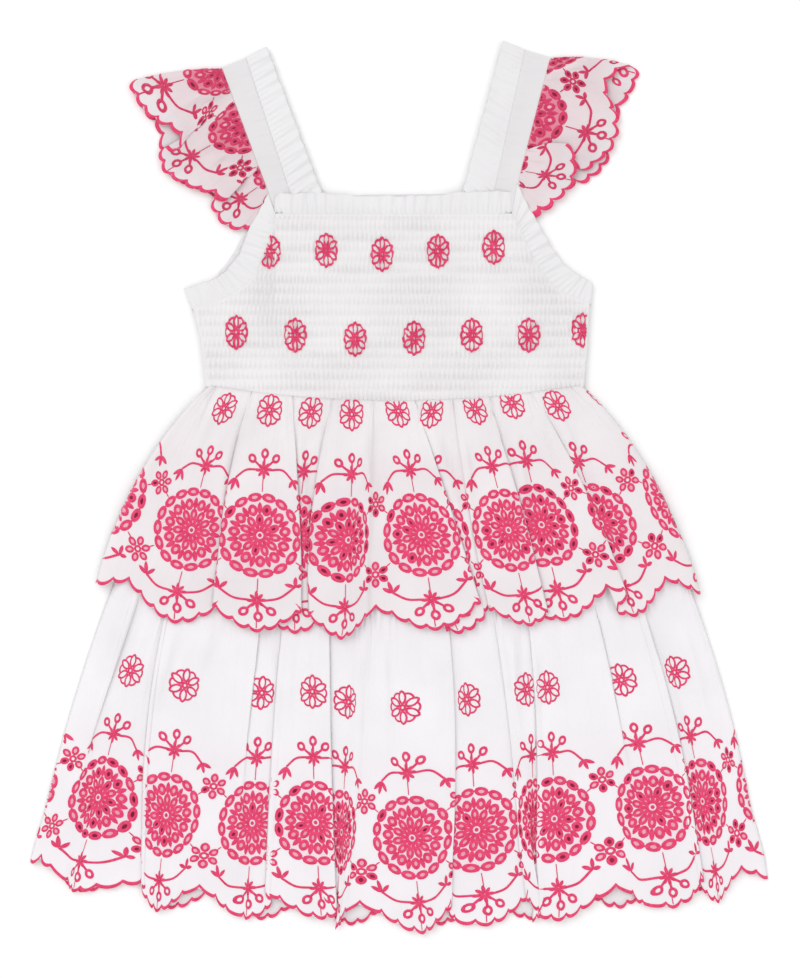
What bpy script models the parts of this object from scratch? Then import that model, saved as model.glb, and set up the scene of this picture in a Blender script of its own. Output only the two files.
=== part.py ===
"""A toddler's shirred sundress laid flat on its back: bodice, straps, flutter sleeves, frills and two tiers.

Metres, +Z up. The neck points to +Y, the front faces +Z, and the back rests on z = 0.
Sizes below are in millimetres and are turned into metres where a mesh is made.
"""

import math

import bmesh
import bpy
import numpy as np
from mathutils import Matrix

MM = 0.001
NAME = "toddler_dress"

# Cloth and how the layers lie on each other
WALL = 1.0  # thickness of a skirt, tier, sleeve or frill wall
BODICE_WALL = 1.6  # shirred cloth is thicker
GAP = 0.3  # between neighbouring pieces
PLY = 1.6  # from one layer of a pleat to the next
LAYER = WALL + GAP  # from one panel to the panel on it
PLEAT_RISE = 2 * PLY  # a pleat lies three layers deep
ARC_STEPS = 4  # faces round the turn of a pleat
TURN_STEPS = 5  # faces round the turn of a strip at the shoulder or under the arm

# The embroidered border repeats along the cloth, one lobe of the hem to each repeat
REPEAT = 60.0
LOBE_DEPTH = 15.0  # how far the cusp between two lobes is cut above a lobe's lowest point
SCALLOPS = 7  # small scallops to a lobe
SCALLOP_DEPTH = 1.9

# Waist seam: a shallow arc, lowest at the middle
WAIST_LEFT, WAIST_RIGHT = -115.5, 112.5
WAIST_MIDDLE_Y, WAIST_RISE = 53.0, 9.7

# Skirt and upper tier. Cloth is counted in repeats of the border from the left side.
# folds: x of the fold at the hem, cloth to its left, cloth to its right, side that lies on top
# drops: cloth, how much lower than the cut length the hem lies there
# spread: how fast the gathered cloth fans out below the waist
SKIRT = {
    "cut": 320.0,
    "sides": (-221.0, 222.5),
    "cloth": (1.35, 12.75),
    "below_waist": 15.5,
    "spread": 1.4,
    "drops": ((1.35, 6.0), (3.0, 5.0), (5.2, -3.0), (7.0, 2.0), (8.6, -1.0), (10.0, 2.0), (12.75, 5.0)),
    "folds": (
        (-161.0, 2.52, 2.75, "right"),
        (-81.0, 4.17, 4.47, "right"),
        (-38.0, 5.20, 5.90, "left"),
        (37.0, 7.43, 7.75, "left"),
        (76.5, 8.42, 8.54, "right"),
        (86.5, 8.95, 9.78, "right"),
        (186.0, 11.43, 11.84, "left"),
    ),
}
TIER = {
    "cut": 146.0,
    "sides": (-181.0, 179.0),
    "cloth": (1.20, 10.90),
    "below_waist": 0.0,
    "spread": 1.55,
    "drops": ((1.2, 1.0), (6.0, 0.0), (10.9, 0.0)),
    "folds": (
        (-113.5, 2.31, 2.59, "right"),
        (-58.5, 3.43, 4.30, "left"),
        (-54.0, 4.40, 4.62, "right"),
        (-17.5, 5.45, 5.50, "left"),
        (49.0, 6.43, 7.30, "left"),
        (54.5, 7.45, 7.57, "right"),
        (90.0, 8.20, 8.88, "left"),
        (140.0, 9.60, 10.00, "left"),
    ),
}
BACK_INSET = 3.0  # how much narrower and shorter the back is than the front
GATHERS = 3  # small gathers to a repeat of the cloth, under the waist seam
GATHER_HEIGHT = 0.9

# Bodice: x and y of the armhole seam and of the frill's free edge, from the strap down to the side
LEFT_ARMHOLE = (
    (-73.4, 165.3, -79.6, 173.4),
    (-76.5, 153.9, -87.9, 158.6),
    (-82.0, 138.0, -94.2, 143.3),
    (-88.5, 125.5, -99.9, 134.6),
    (-103.5, 115.0, -110.0, 126.0),
    (-123.0, 108.3, -127.5, 120.3),
)
RIGHT_ARMHOLE = (
    (68.8, 165.3, 72.6, 180.4),
    (75.0, 153.5, 84.0, 160.5),
    (80.5, 141.0, 91.5, 147.5),
    (87.0, 130.0, 99.0, 136.5),
    (97.0, 119.5, 108.5, 128.8),
    (115.5, 111.3, 116.7, 123.9),
)
TOP_Y = 165.3
SIDE_BULGE = (-118.5, 114.3)  # x of the side edges, half way down to the waist
SIDE_BULGE_Y = 89.0
SHIRR_ROWS = 17
SHIRR_PUFFS = 28
PUFF_HEIGHT = 1.3
FRONT_BODICE_Z = BODICE_WALL + GAP

# Shoulder straps: x and y of the plain band's outer edge, of the frill's seam and of the frill's free edge,
# first at the bodice and then at the shoulder
LEFT_STRAP = ((-72.8, 166.0, -60.9, 166.0, -45.3, 177.6), (-103.5, 253.5, -90.9, 258.3, -78.3, 264.9))
RIGHT_STRAP = ((68.0, 166.0, 55.5, 166.0, 39.3, 179.1), (91.5, 258.9, 76.5, 263.1, 63.3, 268.5))
STRAP_Z = 2.6  # middle of the front strap's wall; the back strap rests on the surface
STRAP_FRILL_WAVES = 14
NECK_FRILL_WAVES = 26
ARMHOLE_FRILL_WAVES = 11
FRILL_WAVE = 0.9
FRILL_FRONT_Z = 2.7

# Flutter sleeves: x and y of the seam on the strap, and of the front's and the back's hem,
# from the front's lower end to the shoulder
SLEEVE_CUT = 58.0
LEFT_SLEEVE = {
    "seam": ((-78.2, 178.2), (-91.3, 216.0), (-104.4, 252.6)),
    "hem": (
        (-92.0, 156.0, -90.0, 163.0),
        (-104.1, 154.0, -100.0, 161.0),
        (-116.7, 166.5, -112.0, 172.0),
        (-131.7, 177.3, -127.0, 182.0),
        (-143.7, 188.7, -139.0, 192.0),
        (-149.1, 204.3, -144.0, 206.0),
        (-150.9, 219.9, -147.0, 220.0),
        (-159.0, 231.3, -156.0, 232.0),
        (-162.6, 246.0, -162.6, 246.0),
    ),
    "bulge": 4.3,
    "cloth": (0.25, 2.60),
    "folds": ((0.31, 0.85, 1.07, "right"), (0.68, 1.88, 2.14, "right")),
}
RIGHT_SLEEVE = {
    "seam": ((73.2, 182.4), (83.1, 222.0), (92.5, 258.4)),
    "hem": (
        (84.3, 163.0, 85.5, 168.0),
        (98.5, 166.5, 97.0, 172.0),
        (107.0, 178.0, 106.5, 178.0),
        (114.0, 189.5, 117.5, 184.0),
        (130.5, 201.5, 127.5, 197.5),
        (135.5, 215.0, 133.5, 215.5),
        (132.5, 230.0, 137.5, 233.0),
        (127.0, 242.5, 145.0, 247.0),
        (142.8, 254.4, 142.8, 254.4),
    ),
    "bulge": 3.4,
    "cloth": (0.25, 2.70),
    "folds": ((0.40, 0.98, 1.22, "left"), (0.80, 2.00, 2.18, "right")),
}
SLEEVE_FRONT_Z = 1.8
SLEEVE_SEAM_Z = 2.6

COLOURS = {"lawn": (0.93, 0.93, 0.93), "shirred": (0.91, 0.91, 0.90), "border": (0.92, 0.78, 0.82)}
ROUGHNESS = 0.85
MIDDLE = (0.75, 0.8)  # the middle of the dress's box, on the scale of the tables above


# ---------------------------------------------------------------- helpers


def blend(a, b, t):
    return a + (b - a) * t


def ease(t):
    t = min(max(t, 0.0), 1.0)
    return t * t * (3 - 2 * t)


def along(points, t):
    """A point at t (0 to 1) on the smooth curve through the points."""
    last = len(points) - 1
    place = min(max(t, 0.0), 1.0) * last
    i = min(int(place), last - 1)
    a, b = np.array(points[i]), np.array(points[i + 1])
    before = np.array(points[i - 1]) if i else 2 * a - b
    after = np.array(points[i + 2]) if i + 2 <= last else 2 * b - a
    s = place - i
    square = 2 * before - 5 * a + 4 * b - after
    cube = 3 * a - before - 3 * b + after
    return a + 0.5 * ((b - before) * s + square * s**2 + cube * s**3)


def material(name, colour):
    made = bpy.data.materials.new(name)
    made.use_nodes = True
    shader = made.node_tree.nodes["Principled BSDF"]
    shader.inputs["Base Color"].default_value = (*colour, 1)
    shader.inputs["Roughness"].default_value = ROUGHNESS
    shader.inputs["Metallic"].default_value = 0
    return made


def new_object(name, mesh, group, finish):
    made = bpy.data.objects.new(name, mesh)
    group.objects.link(made)
    mesh.materials.append(finish)
    return made


def cloth_wall(name, rows, thickness, group, finish):
    """A wall of cloth round a grid of points, given as rows of (x, y, z) at the middle of the wall."""
    grid = np.array(rows)
    lines, columns = grid.shape[:2]
    shape = bmesh.new()
    bmesh.ops.create_grid(shape, x_segments=columns - 1, y_segments=lines - 1, size=1)
    order = sorted(shape.verts, key=lambda v: (round(v.co.y, 5), round(v.co.x, 5)))
    for vertex, point in zip(order, grid.reshape(-1, 3)):
        vertex.co = point * MM
    mesh = bpy.data.meshes.new(name)
    shape.to_mesh(mesh)
    shape.free()
    made = new_object(name, mesh, group, finish)
    wall = made.modifiers.new("wall", "SOLIDIFY")
    wall.thickness = thickness * MM
    wall.offset = 0
    return made


# ---------------------------------------------------------------- pleated skirt, tier and sleeves


def cut_length(cloth, full):
    """How long the cloth is cut below its top edge: lobes with small scallops round them."""
    across = abs(cloth - round(cloth)) * 2
    along_lobe = (cloth + 0.5) * SCALLOPS
    scallop = abs(along_lobe - math.floor(along_lobe) - 0.5) * 2
    return full - LOBE_DEPTH * across**1.7 - SCALLOP_DEPTH * scallop**2


def pleat_section(edges, overlaps, sheet):
    """One row of a pleated sheet, as (place, height, cloth): panels that lie over and under each other.

    The panels between two folds are shown, and a fold hides two layers under the edge on top.
    """
    turn = PLY / 2
    folds = sheet["folds"]
    cloth_ends = [sheet["cloth"][0]]
    for _, left, right, _ in folds:
        cloth_ends += [left, right]
    cloth_ends.append(sheet["cloth"][1])
    row = []
    for i in range(len(folds) + 1):
        high_left = i > 0 and folds[i - 1][3] == "right"
        high_right = i < len(folds) and folds[i][3] == "left"
        start = edges[i] + (turn if high_left else 0)
        end = edges[i + 1] - (turn if high_right else 0)
        first, last = cloth_ends[2 * i], cloth_ends[2 * i + 1]
        step = 1 / (2 * SCALLOPS)
        inner = [k * step for k in range(math.ceil(first / step + 0.3), math.ceil(last / step - 0.3))]
        for cloth in [first, *inner, last]:
            t = (cloth - first) / (last - first)
            height = PLEAT_RISE * blend(high_left, high_right, ease(t))
            ripple = math.sin(math.pi * t) ** 2 * (1 - height / PLEAT_RISE)
            row.append((blend(start, end, t), height, cloth, ripple))
        if i < len(folds):
            row += hidden_layers(edges[i + 1], overlaps[i], last, cloth_ends[2 * i + 2], folds[i][3])
    return row


def hidden_layers(edge, overlap, first, last, on_top):
    """The two layers under the edge of a fold, from its left panel to its right one."""
    turn = PLY / 2
    legs = max(1, round((last - first) * REPEAT / 2 / 9))
    path = []
    for k in range(1, ARC_STEPS + 1):
        angle = math.pi * k / ARC_STEPS
        path.append((edge - turn + turn * math.sin(angle), 1.5 * PLY + turn * math.cos(angle)))
    for k in range(1, legs):
        path.append((blend(edge - turn, edge - overlap + turn, k / legs), PLY))
    for k in range(ARC_STEPS + 1):
        angle = math.pi * k / ARC_STEPS
        path.append((edge - overlap + turn - turn * math.sin(angle), 0.5 * PLY + turn * math.cos(angle)))
    for k in range(1, legs):
        path.append((blend(edge - overlap + turn, edge, k / legs), 0.0))
    if on_top == "right":
        path = [(2 * edge - x, z) for x, z in reversed(path)]
    return [
        (x, z, blend(first, last, (k + 1) / (len(path) + 1)), 0.0) for k, (x, z) in enumerate(path)
    ]


def waist_y(x):
    middle = (WAIST_LEFT + WAIST_RIGHT) / 2
    return WAIST_MIDDLE_Y + WAIST_RISE * ((x - middle) / (WAIST_RIGHT - middle)) ** 2


def skirt_rows(sheet, levels, base, gather):
    """Rows of a panel that is gathered at the waist and pleated below it.

    levels are shares of the cut length, base(level) is the height of its lowest layer.
    """
    hem_edges = [sheet["sides"][0], *(fold[0] for fold in sheet["folds"]), sheet["sides"][1]]
    first, last = sheet["cloth"]
    at_folds = [first, *((fold[1] + fold[2]) / 2 for fold in sheet["folds"]), last]
    waist_edges = [blend(WAIST_LEFT, WAIST_RIGHT, (c - first) / (last - first)) for c in at_folds]
    least = PLY + 0.4
    tops = [spot[0] for spot in pleat_section(waist_edges, [least] * len(sheet["folds"]), sheet)]
    rows = []
    for level in levels:
        fan = 1 - (1 - level) ** sheet["spread"]
        edges = [blend(w, h, fan) for w, h in zip(waist_edges, hem_edges)]
        overlaps = [
            blend(least, max(least, (fold[2] - fold[1]) * REPEAT / 2), fan) for fold in sheet["folds"]
        ]
        row = []
        for waist_x, (x, z, cloth, ripple) in zip(tops, pleat_section(edges, overlaps, sheet)):
            full = cut_length(cloth, sheet["cut"]) if level == 1 else sheet["cut"] - LOBE_DEPTH
            full += np.interp(cloth, *zip(*sheet["drops"]))
            length = blend(sheet["below_waist"], full, level)
            fall = math.sqrt(max(length**2 - (x - waist_x) ** 2, 0))
            wave = gather * max(0.0, 1 - level * 2.2) * (0.5 - 0.5 * math.cos(2 * math.pi * GATHERS * cloth))
            row.append((x, waist_y(waist_x) - fall - GAP, base(level) + z + wave * ripple))
        rows.append(row)
    return rows


def flat_panel_rows(sheet, levels, base, inset):
    """Rows of the back panel, smooth and a little narrower than the front that lies on it."""
    lobes = round((sheet["sides"][1] - sheet["sides"][0]) / REPEAT * 1.15)
    rows = []
    for level in levels:
        fan = 1 - (1 - level) ** sheet["spread"]
        row = []
        for k in range(6 * lobes + 1):
            t = k / (6 * lobes)
            waist_x = blend(WAIST_LEFT + 1, WAIST_RIGHT - 1, t)
            x = blend(waist_x, blend(sheet["sides"][0] + inset, sheet["sides"][1] - inset, t), fan)
            across = abs(t * lobes - math.floor(t * lobes) - 0.5) * 2
            full = sheet["cut"] - inset - LOBE_DEPTH * (across**1.7 if level == 1 else 1)
            fall = math.sqrt(max((full * level) ** 2 - (x - waist_x) ** 2, 0))
            row.append((x, waist_y(waist_x) - fall - GAP, base(level)))
        rows.append(row)
    return rows


def back_tier_base(_):
    """The back tier rests on the surface all the way down."""
    return WALL / 2


def back_skirt_base(level):
    """The back skirt lies over the back tier, and on the surface below that tier's hem."""
    return WALL / 2 + LAYER * (1 - ease((level - 0.46) / 0.07))


def front_skirt_base(level):
    return back_skirt_base(level) + LAYER


def front_tier_base(level):
    """The front tier starts low at the waist seam and rises over the pleats of the skirt."""
    at_seam = WALL / 2 + 2 * LAYER
    over_skirt = WALL / 2 + 2 * LAYER + PLEAT_RISE + LAYER
    return blend(at_seam, over_skirt, ease(level / 0.1))


def sleeve_spot(sleeve, t, reach, first):
    """A point of a flutter sleeve: t goes up the seam and reach goes out to the hem.

    first is 0 for the front's hem and 2 for the back's, the columns of the table.
    """
    hem = [row[first : first + 2] for row in sleeve["hem"]]
    upward = along(sleeve["seam"], 1) - along(sleeve["seam"], 0.97)
    swell = sleeve["bulge"] * 4 * reach * (1 - min(reach, 1)) * t**4
    return blend(along(sleeve["seam"], t), along(hem, t), reach) + upward / np.linalg.norm(upward) * swell


def sleeve_rows(sleeve):
    """Rows of a flutter sleeve from its seam to its hem: pleated front, shoulder fold and back."""
    folds = sleeve["folds"]
    rows = []
    for level in (0.0, 0.5, 1.0):
        spots = [sleeve_spot(sleeve, k / 60, level, 0) for k in range(61)]
        length = sum(np.linalg.norm(b - a) for a, b in zip(spots, spots[1:]))
        edges = [length * share for share in (0.0, *(fold[0] for fold in folds), 1.0)]
        least = PLY + 0.4
        overlaps = [blend(least, max(least, (fold[2] - fold[1]) * REPEAT / 2), level) for fold in folds]
        low = blend(SLEEVE_SEAM_Z, SLEEVE_FRONT_Z, level)
        row = []
        for place, z, cloth, _ in pleat_section(edges, overlaps, sleeve):
            shorter = (SLEEVE_CUT - cut_length(cloth, SLEEVE_CUT)) / SLEEVE_CUT if level == 1 else 0
            row.append((*sleeve_spot(sleeve, place / length, level - 0.6 * shorter, 0), low + z))
        tip = sleeve_spot(sleeve, 1, level, 0)
        upward = tip - sleeve_spot(sleeve, 0.97, level, 0)
        row += shoulder_turn(tip, upward, low)
        for k in range(9):
            row.append((*sleeve_spot(sleeve, 1 - 0.85 * k / 8, level, 2), WALL / 2))
        rows.append(row)
    return rows


def shoulder_turn(tip, outward, top):
    """Points of a wall that turns over at tip, from the height top down to the surface."""
    turn = (top - WALL / 2) / 2
    outward = outward / np.linalg.norm(outward) * turn
    middle = WALL / 2 + turn
    angles = [math.pi * k / TURN_STEPS for k in range(1, TURN_STEPS)]
    return [(*(tip + outward * math.sin(angle)), middle + turn * math.cos(angle)) for angle in angles]


# ---------------------------------------------------------------- bodice


def bodice_outline():
    """Corners of a bodice panel, clockwise from the left side of the waist."""
    left = [along([row[:2] for row in LEFT_ARMHOLE], k / 10) + (GAP, -GAP) for k in range(10, -1, -1)]
    right = [along([row[:2] for row in RIGHT_ARMHOLE], k / 10) + (-GAP, -GAP) for k in range(11)]
    waist = [blend(WAIST_RIGHT, WAIST_LEFT, k / 16) for k in range(17)]
    outline = [(SIDE_BULGE[0], SIDE_BULGE_Y), *left, *right, (SIDE_BULGE[1], SIDE_BULGE_Y)]
    return outline + [(x, waist_y(x)) for x in waist]


def prism(name, outline, low, high, group, finish):
    shape = bmesh.new()
    face = shape.faces.new([shape.verts.new((x * MM, y * MM, low * MM)) for x, y in outline])
    top = bmesh.ops.extrude_face_region(shape, geom=[face])["geom"]
    raised = [part for part in top if isinstance(part, bmesh.types.BMVert)]
    bmesh.ops.translate(shape, verts=raised, vec=(0, 0, (high - low) * MM))
    bmesh.ops.recalc_face_normals(shape, faces=shape.faces)
    mesh = bpy.data.meshes.new(name)
    shape.to_mesh(mesh)
    shape.free()
    return new_object(name, mesh, group, finish)


def puff_height(row, column):
    """Elastic rows pull the cloth in, and the puffs between them are staggered from row to row."""
    if row % 2 == 0:
        return 0.0
    raised = (column + row // 2) % 2 == 0
    return PUFF_HEIGHT if raised else 0.35 * PUFF_HEIGHT


def shirred_slab(name, group, finish):
    """A slab with a plain underside and a puffed top, wider than the bodice that is cut from it."""
    columns, lines = 2 * SHIRR_PUFFS, 2 * SHIRR_ROWS
    left, right = LEFT_ARMHOLE[-1][0] - 4, RIGHT_ARMHOLE[-1][0] + 4
    shape = bmesh.new()
    bmesh.ops.create_grid(shape, x_segments=columns, y_segments=lines, size=1)
    order = sorted(shape.verts, key=lambda v: (round(v.co.y, 5), round(v.co.x, 5)))
    for k, vertex in enumerate(order):
        line, column = divmod(k, columns + 1)
        x = blend(left, right, column / columns)
        y = blend(waist_y(x), TOP_Y, (line - 0.4) / (lines - 1))
        z = FRONT_BODICE_Z + WALL + puff_height(line, column)
        vertex.co = (x * MM, y * MM, z * MM)
    copied = bmesh.ops.extrude_face_region(shape, geom=shape.faces[:])["geom"]
    underside = [part for part in copied if isinstance(part, bmesh.types.BMVert)]
    for vertex in underside:
        vertex.co.z = FRONT_BODICE_Z * MM
    bmesh.ops.recalc_face_normals(shape, faces=shape.faces)
    flat = [part for part in copied if isinstance(part, bmesh.types.BMEdge)]
    bmesh.ops.dissolve_limit(shape, angle_limit=0.001, verts=underside, edges=flat)
    mesh = bpy.data.meshes.new(name)
    shape.to_mesh(mesh)
    shape.free()
    return new_object(name, mesh, group, finish)


# ---------------------------------------------------------------- straps and frills


def wave(k, share):
    """Alternate crests and troughs, which die out towards the seam."""
    return FRILL_WAVE * share * (1 if k % 2 else -1)


def strap_rows(corners, start, end):
    """Rows of a strip that runs up the front, folds at the shoulder and comes down the back.

    start and end pick the two edges of the strip in the strap's table.
    """
    low, high = (np.array(row) for row in corners)
    rows = []
    for share in (0.0, 1.0):
        foot = blend(low[start : start + 2], low[end : end + 2], share)
        head = blend(high[start : start + 2], high[end : end + 2], share)
        row = [(*blend(foot, head, k / 5), STRAP_Z) for k in range(6)]
        row += shoulder_turn(head, head - foot, STRAP_Z)
        row += [(*blend(head, foot, k / 3), WALL / 2) for k in range(4)]
        rows.append(row)
    return rows


def strap_frill_rows(corners, side):
    """The gathered frill on a strap's inner edge; side is +1 on the left strap and -1 on the right one."""
    low, high = (np.array(row) for row in corners)
    count = 2 * STRAP_FRILL_WAVES
    beside = GAP * 1.6 * side
    rows = []
    for share in (0.0, 1.0):
        foot = blend(low[2:4] + (beside, GAP), low[4:6], share)
        head = blend(high[2:4] + (beside, 0), high[4:6], share)
        row = []
        for k in range(count + 1):
            fade = min(1.0, (count - k) / 3)
            row.append((*blend(foot, head, k / count), STRAP_Z + wave(k, share * fade)))
        row += shoulder_turn(head, head - foot, STRAP_Z)
        row += [(*blend(head, foot, 0.96 * k / 3), WALL / 2) for k in range(4)]
        rows.append(row)
    return rows


def neck_frill_rows(z, waves, lift):
    """The frill along the front or back neckline, mitred to the strap frills at both ends."""
    left, right = LEFT_STRAP[0], RIGHT_STRAP[0]
    count = 2 * waves if waves else 8
    rows = []
    for share in (0.0, 1.0):
        row = []
        for k in range(count + 1):
            t = k / count
            seam = (blend(left[2] + 1.0, right[2] - 1.0, t), TOP_Y)
            edge = (blend(left[4] + 0.9, right[4] - 0.9, t), blend(left[5], right[5], t) - 0.9)
            fade = math.sin(math.pi * t) ** 0.3 if 0 < k < count else 0
            row.append((*blend(np.array(seam), np.array(edge), share), z + lift * wave(k, share * fade)))
        rows.append(row)
    return rows


def armhole_frill_rows(table, waves, back_out):
    """The frill round an armhole: the front, the turn under the arm and the back that lies beneath."""
    seam = [row[:2] for row in table]
    edge = [row[2:] for row in table]
    count = 2 * waves
    rows = []
    for share in (0.0, 1.0):
        row = []
        for k in range(count + 1):
            fade = min(1.0, (count - k) / 2, k / 2)
            spot = blend(along(seam, k / count), along(edge, k / count), share)
            row.append((*spot, FRILL_FRONT_Z + wave(k, share * fade)))
        last = blend(along(seam, 1), along(edge, 1), share)
        before = blend(along(seam, 0.97), along(edge, 0.97), share)
        row += shoulder_turn(last, last - before, FRILL_FRONT_Z)
        for k in range(9):
            t = 1 - k / 8
            spot = blend(along(seam, t), along(edge, t), share)
            away = along(edge, t) - along(seam, t)
            away = away / np.linalg.norm(away) * back_out * share * math.sin(math.pi * t) ** 2
            row.append((*(spot + away), WALL / 2))
        rows.append(row)
    return rows


# ---------------------------------------------------------------- the dress


def build():
    for old in list(bpy.data.objects):
        bpy.data.objects.remove(old)
    dress = bpy.data.collections.new(NAME)
    cutters = bpy.data.collections.new(NAME + "_cutters")
    for group in (dress, cutters):
        bpy.context.scene.collection.children.link(group)
    finish = {name: material(name, colour) for name, colour in COLOURS.items()}

    slab = shirred_slab("front_bodice", dress, finish["shirred"])
    outline = bodice_outline()
    cutter = prism("bodice_outline", outline, -5, 20, cutters, finish["shirred"])
    cutter.hide_render = True
    cutter.display_type = "WIRE"
    cut = slab.modifiers.new("outline", "BOOLEAN")
    cut.operation = "INTERSECT"
    cut.object = cutter
    prism("back_bodice", outline, 0, BODICE_WALL, dress, finish["shirred"])

    skirt_levels = (0.0, 0.46, 0.53, 0.72, 0.88, 1.0)
    tier_levels = (0.0, 0.1, 0.35, 0.65, 1.0)
    panels = {
        "front_skirt": skirt_rows(SKIRT, skirt_levels, front_skirt_base, 0),
        "front_tier": skirt_rows(TIER, tier_levels, front_tier_base, GATHER_HEIGHT),
        "back_skirt": flat_panel_rows(SKIRT, skirt_levels, back_skirt_base, BACK_INSET),
        "back_tier": flat_panel_rows(TIER, (0, 0.5, 1.0), back_tier_base, BACK_INSET),
    }
    for name, rows in panels.items():
        cloth_wall(name, rows, WALL, dress, finish["border"])

    for side, corners, armhole, sleeve, sign, back_out in (
        ("left", LEFT_STRAP, LEFT_ARMHOLE, LEFT_SLEEVE, 1, 3.0),
        ("right", RIGHT_STRAP, RIGHT_ARMHOLE, RIGHT_SLEEVE, -1, 0.0),
    ):
        cloth_wall(f"{side}_strap", strap_rows(corners, 0, 2), WALL, dress, finish["lawn"])
        cloth_wall(f"{side}_strap_frill", strap_frill_rows(corners, sign), WALL, dress, finish["lawn"])
        cloth_wall(f"{side}_sleeve", sleeve_rows(sleeve), WALL, dress, finish["border"])
        frill = armhole_frill_rows(armhole, ARMHOLE_FRILL_WAVES, back_out)
        cloth_wall(f"{side}_armhole_frill", frill, WALL, dress, finish["lawn"])

    front_frill = neck_frill_rows(FRILL_FRONT_Z, NECK_FRILL_WAVES, 1)
    cloth_wall("front_neck_frill", front_frill, WALL, dress, finish["lawn"])
    cloth_wall("back_neck_frill", neck_frill_rows(WALL / 2, 0, 0), WALL, dress, finish["lawn"])
    to_middle = Matrix.Translation((-MIDDLE[0] * MM, -MIDDLE[1] * MM, 0))
    for made in (*dress.objects, *cutters.objects):
        made.data.transform(to_middle)


build()
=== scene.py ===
import math

import bmesh
import bpy
import numpy as np
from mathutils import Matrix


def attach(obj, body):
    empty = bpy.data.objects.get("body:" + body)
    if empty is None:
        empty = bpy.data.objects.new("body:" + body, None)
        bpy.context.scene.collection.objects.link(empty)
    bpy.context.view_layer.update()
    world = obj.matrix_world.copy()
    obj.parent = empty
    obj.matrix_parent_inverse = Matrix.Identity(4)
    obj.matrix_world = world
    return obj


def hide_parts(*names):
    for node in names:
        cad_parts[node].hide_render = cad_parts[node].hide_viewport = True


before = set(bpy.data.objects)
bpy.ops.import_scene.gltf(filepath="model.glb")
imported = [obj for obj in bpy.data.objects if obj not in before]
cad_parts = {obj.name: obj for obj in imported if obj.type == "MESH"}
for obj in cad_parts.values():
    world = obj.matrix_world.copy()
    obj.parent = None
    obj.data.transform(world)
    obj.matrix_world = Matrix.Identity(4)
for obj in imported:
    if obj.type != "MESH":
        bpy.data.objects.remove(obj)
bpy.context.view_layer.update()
mm = 0.001  # every table below is in millimetres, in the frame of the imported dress
repeatWidth = 60.0  # cloth from one rosette of the border to the next

clothKind = {"thickness": 0.35, "pastHem": 0.6}  # pastHem is how far stitches may pass the hem
waist = {"left": -116.25, "right": 111.75, "middleY": 52.2, "rise": 9.7}  # its ends lie higher by the rise


def blend(a, b, t):
    return a + (b - a) * t


def smoothStep(t):
    t = np.clip(t, 0, 1)
    return t * t * (3 - 2 * t)


# softens the corners of a row of values; sigma is in columns
def blur(values, sigma):
    reach = max(2, int(3 * sigma))
    weights = np.exp(-0.5 * (np.arange(-reach, reach + 1) / sigma) ** 2)
    before = 2 * values[0] - values[reach:0:-1]
    after = 2 * values[-1] - values[-2:-reach - 2:-1]
    return np.convolve(np.concatenate([before, values, after]), weights / weights.sum(), "valid")


# places at t (0 to 1) on the smooth curve through the points
def smoothCurve(points, t):
    points = np.asarray(points, float)
    last = len(points) - 1
    place = np.clip(t, 0, 1) * last
    i = np.minimum(place.astype(int), last - 1)
    padded = np.vstack([2 * points[0] - points[1], points, 2 * points[-1] - points[-2]])
    before, a, b, after = (padded[i + k] for k in range(4))
    s = (place - i)[..., None]
    square = 2 * before - 5 * a + 4 * b - after
    cube = 3 * a - before - 3 * b + after
    return a + 0.5 * ((b - before) * s + square * s**2 + cube * s**3)


def unit(vectors):
    return vectors / np.maximum(np.linalg.norm(vectors, axis=-1, keepdims=True), 1e-9)


# length walked from the start of a path to each of its places
def walkAlong(path):
    return np.concatenate([[0], np.cumsum(np.linalg.norm(np.diff(path, axis=0), axis=1))])


# what a table says at a place; rows hold the place, then the values, and None where one is left out
def readTable(rows, at, column=1):
    kept = [(row[0], row[column]) for row in rows if row[column] is not None]
    return np.interp(at, *zip(*kept))


def waistY(x):
    middle = (waist["left"] + waist["right"]) / 2
    return waist["middleY"] + waist["rise"] * ((x - middle) / (waist["right"] - middle)) ** 2


creaseShape = {
    "ridges": 1.3,  # how much higher ridges are than their tables say
    "dip": (0.35, 1.6),  # depth beside a ridge and how far away, as shares of its height and width
    "swell": (0.2, 1.9),  # the same for the rise on its other side
}


# soft ridges (+) and troughs (-) along listed lines, which fade at both ends
def creaseHeight(x, y, creases):
    dip, dipAt = creaseShape["dip"]
    swell, swellAt = creaseShape["swell"]
    total = np.zeros_like(x)
    for height, width, fadeStart, fadeEnd, line in creases:
        height = height * creaseShape["ridges"] if height > 0 else height
        line = np.array(line, float)
        lengths = np.linalg.norm(np.diff(line, axis=0), axis=1)
        whole = lengths.sum()
        nearest = np.full(x.shape, 1e9)
        share = np.zeros_like(x)
        side = np.zeros_like(x)
        walked = 0.0
        for start, end, length in zip(line, line[1:], lengths):
            run, climb = end - start
            along = np.clip(((x - start[0]) * run + (y - start[1]) * climb) / length**2, 0, 1)
            away = (x - start[0] - along * run, y - start[1] - along * climb)
            distance = np.hypot(*away)
            closer = distance < nearest
            nearest = np.where(closer, distance, nearest)
            share = np.where(closer, (walked + along * length) / whole, share)
            side = np.where(closer, np.sign(run * away[1] - climb * away[0]), side)
            walked += length
        signed = nearest * side / width
        profile = np.exp(-(signed**2)) - dip * np.exp(-((signed - dipAt) ** 2))
        profile = profile + swell * np.exp(-((signed + swellAt) ** 2))
        fade = smoothStep(share / max(fadeStart, 1e-3)) * smoothStep((1 - share) / max(fadeEnd, 1e-3))
        total += height * profile * fade
    return total


def meshFrom(shape, name):
    mesh = bpy.data.meshes.new(name)
    shape.to_mesh(mesh)
    shape.free()
    return mesh


def vertexPlaces(mesh):
    places = np.empty(len(mesh.vertices) * 3)
    mesh.vertices.foreach_get("co", places)
    return places.reshape(-1, 3)


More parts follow.
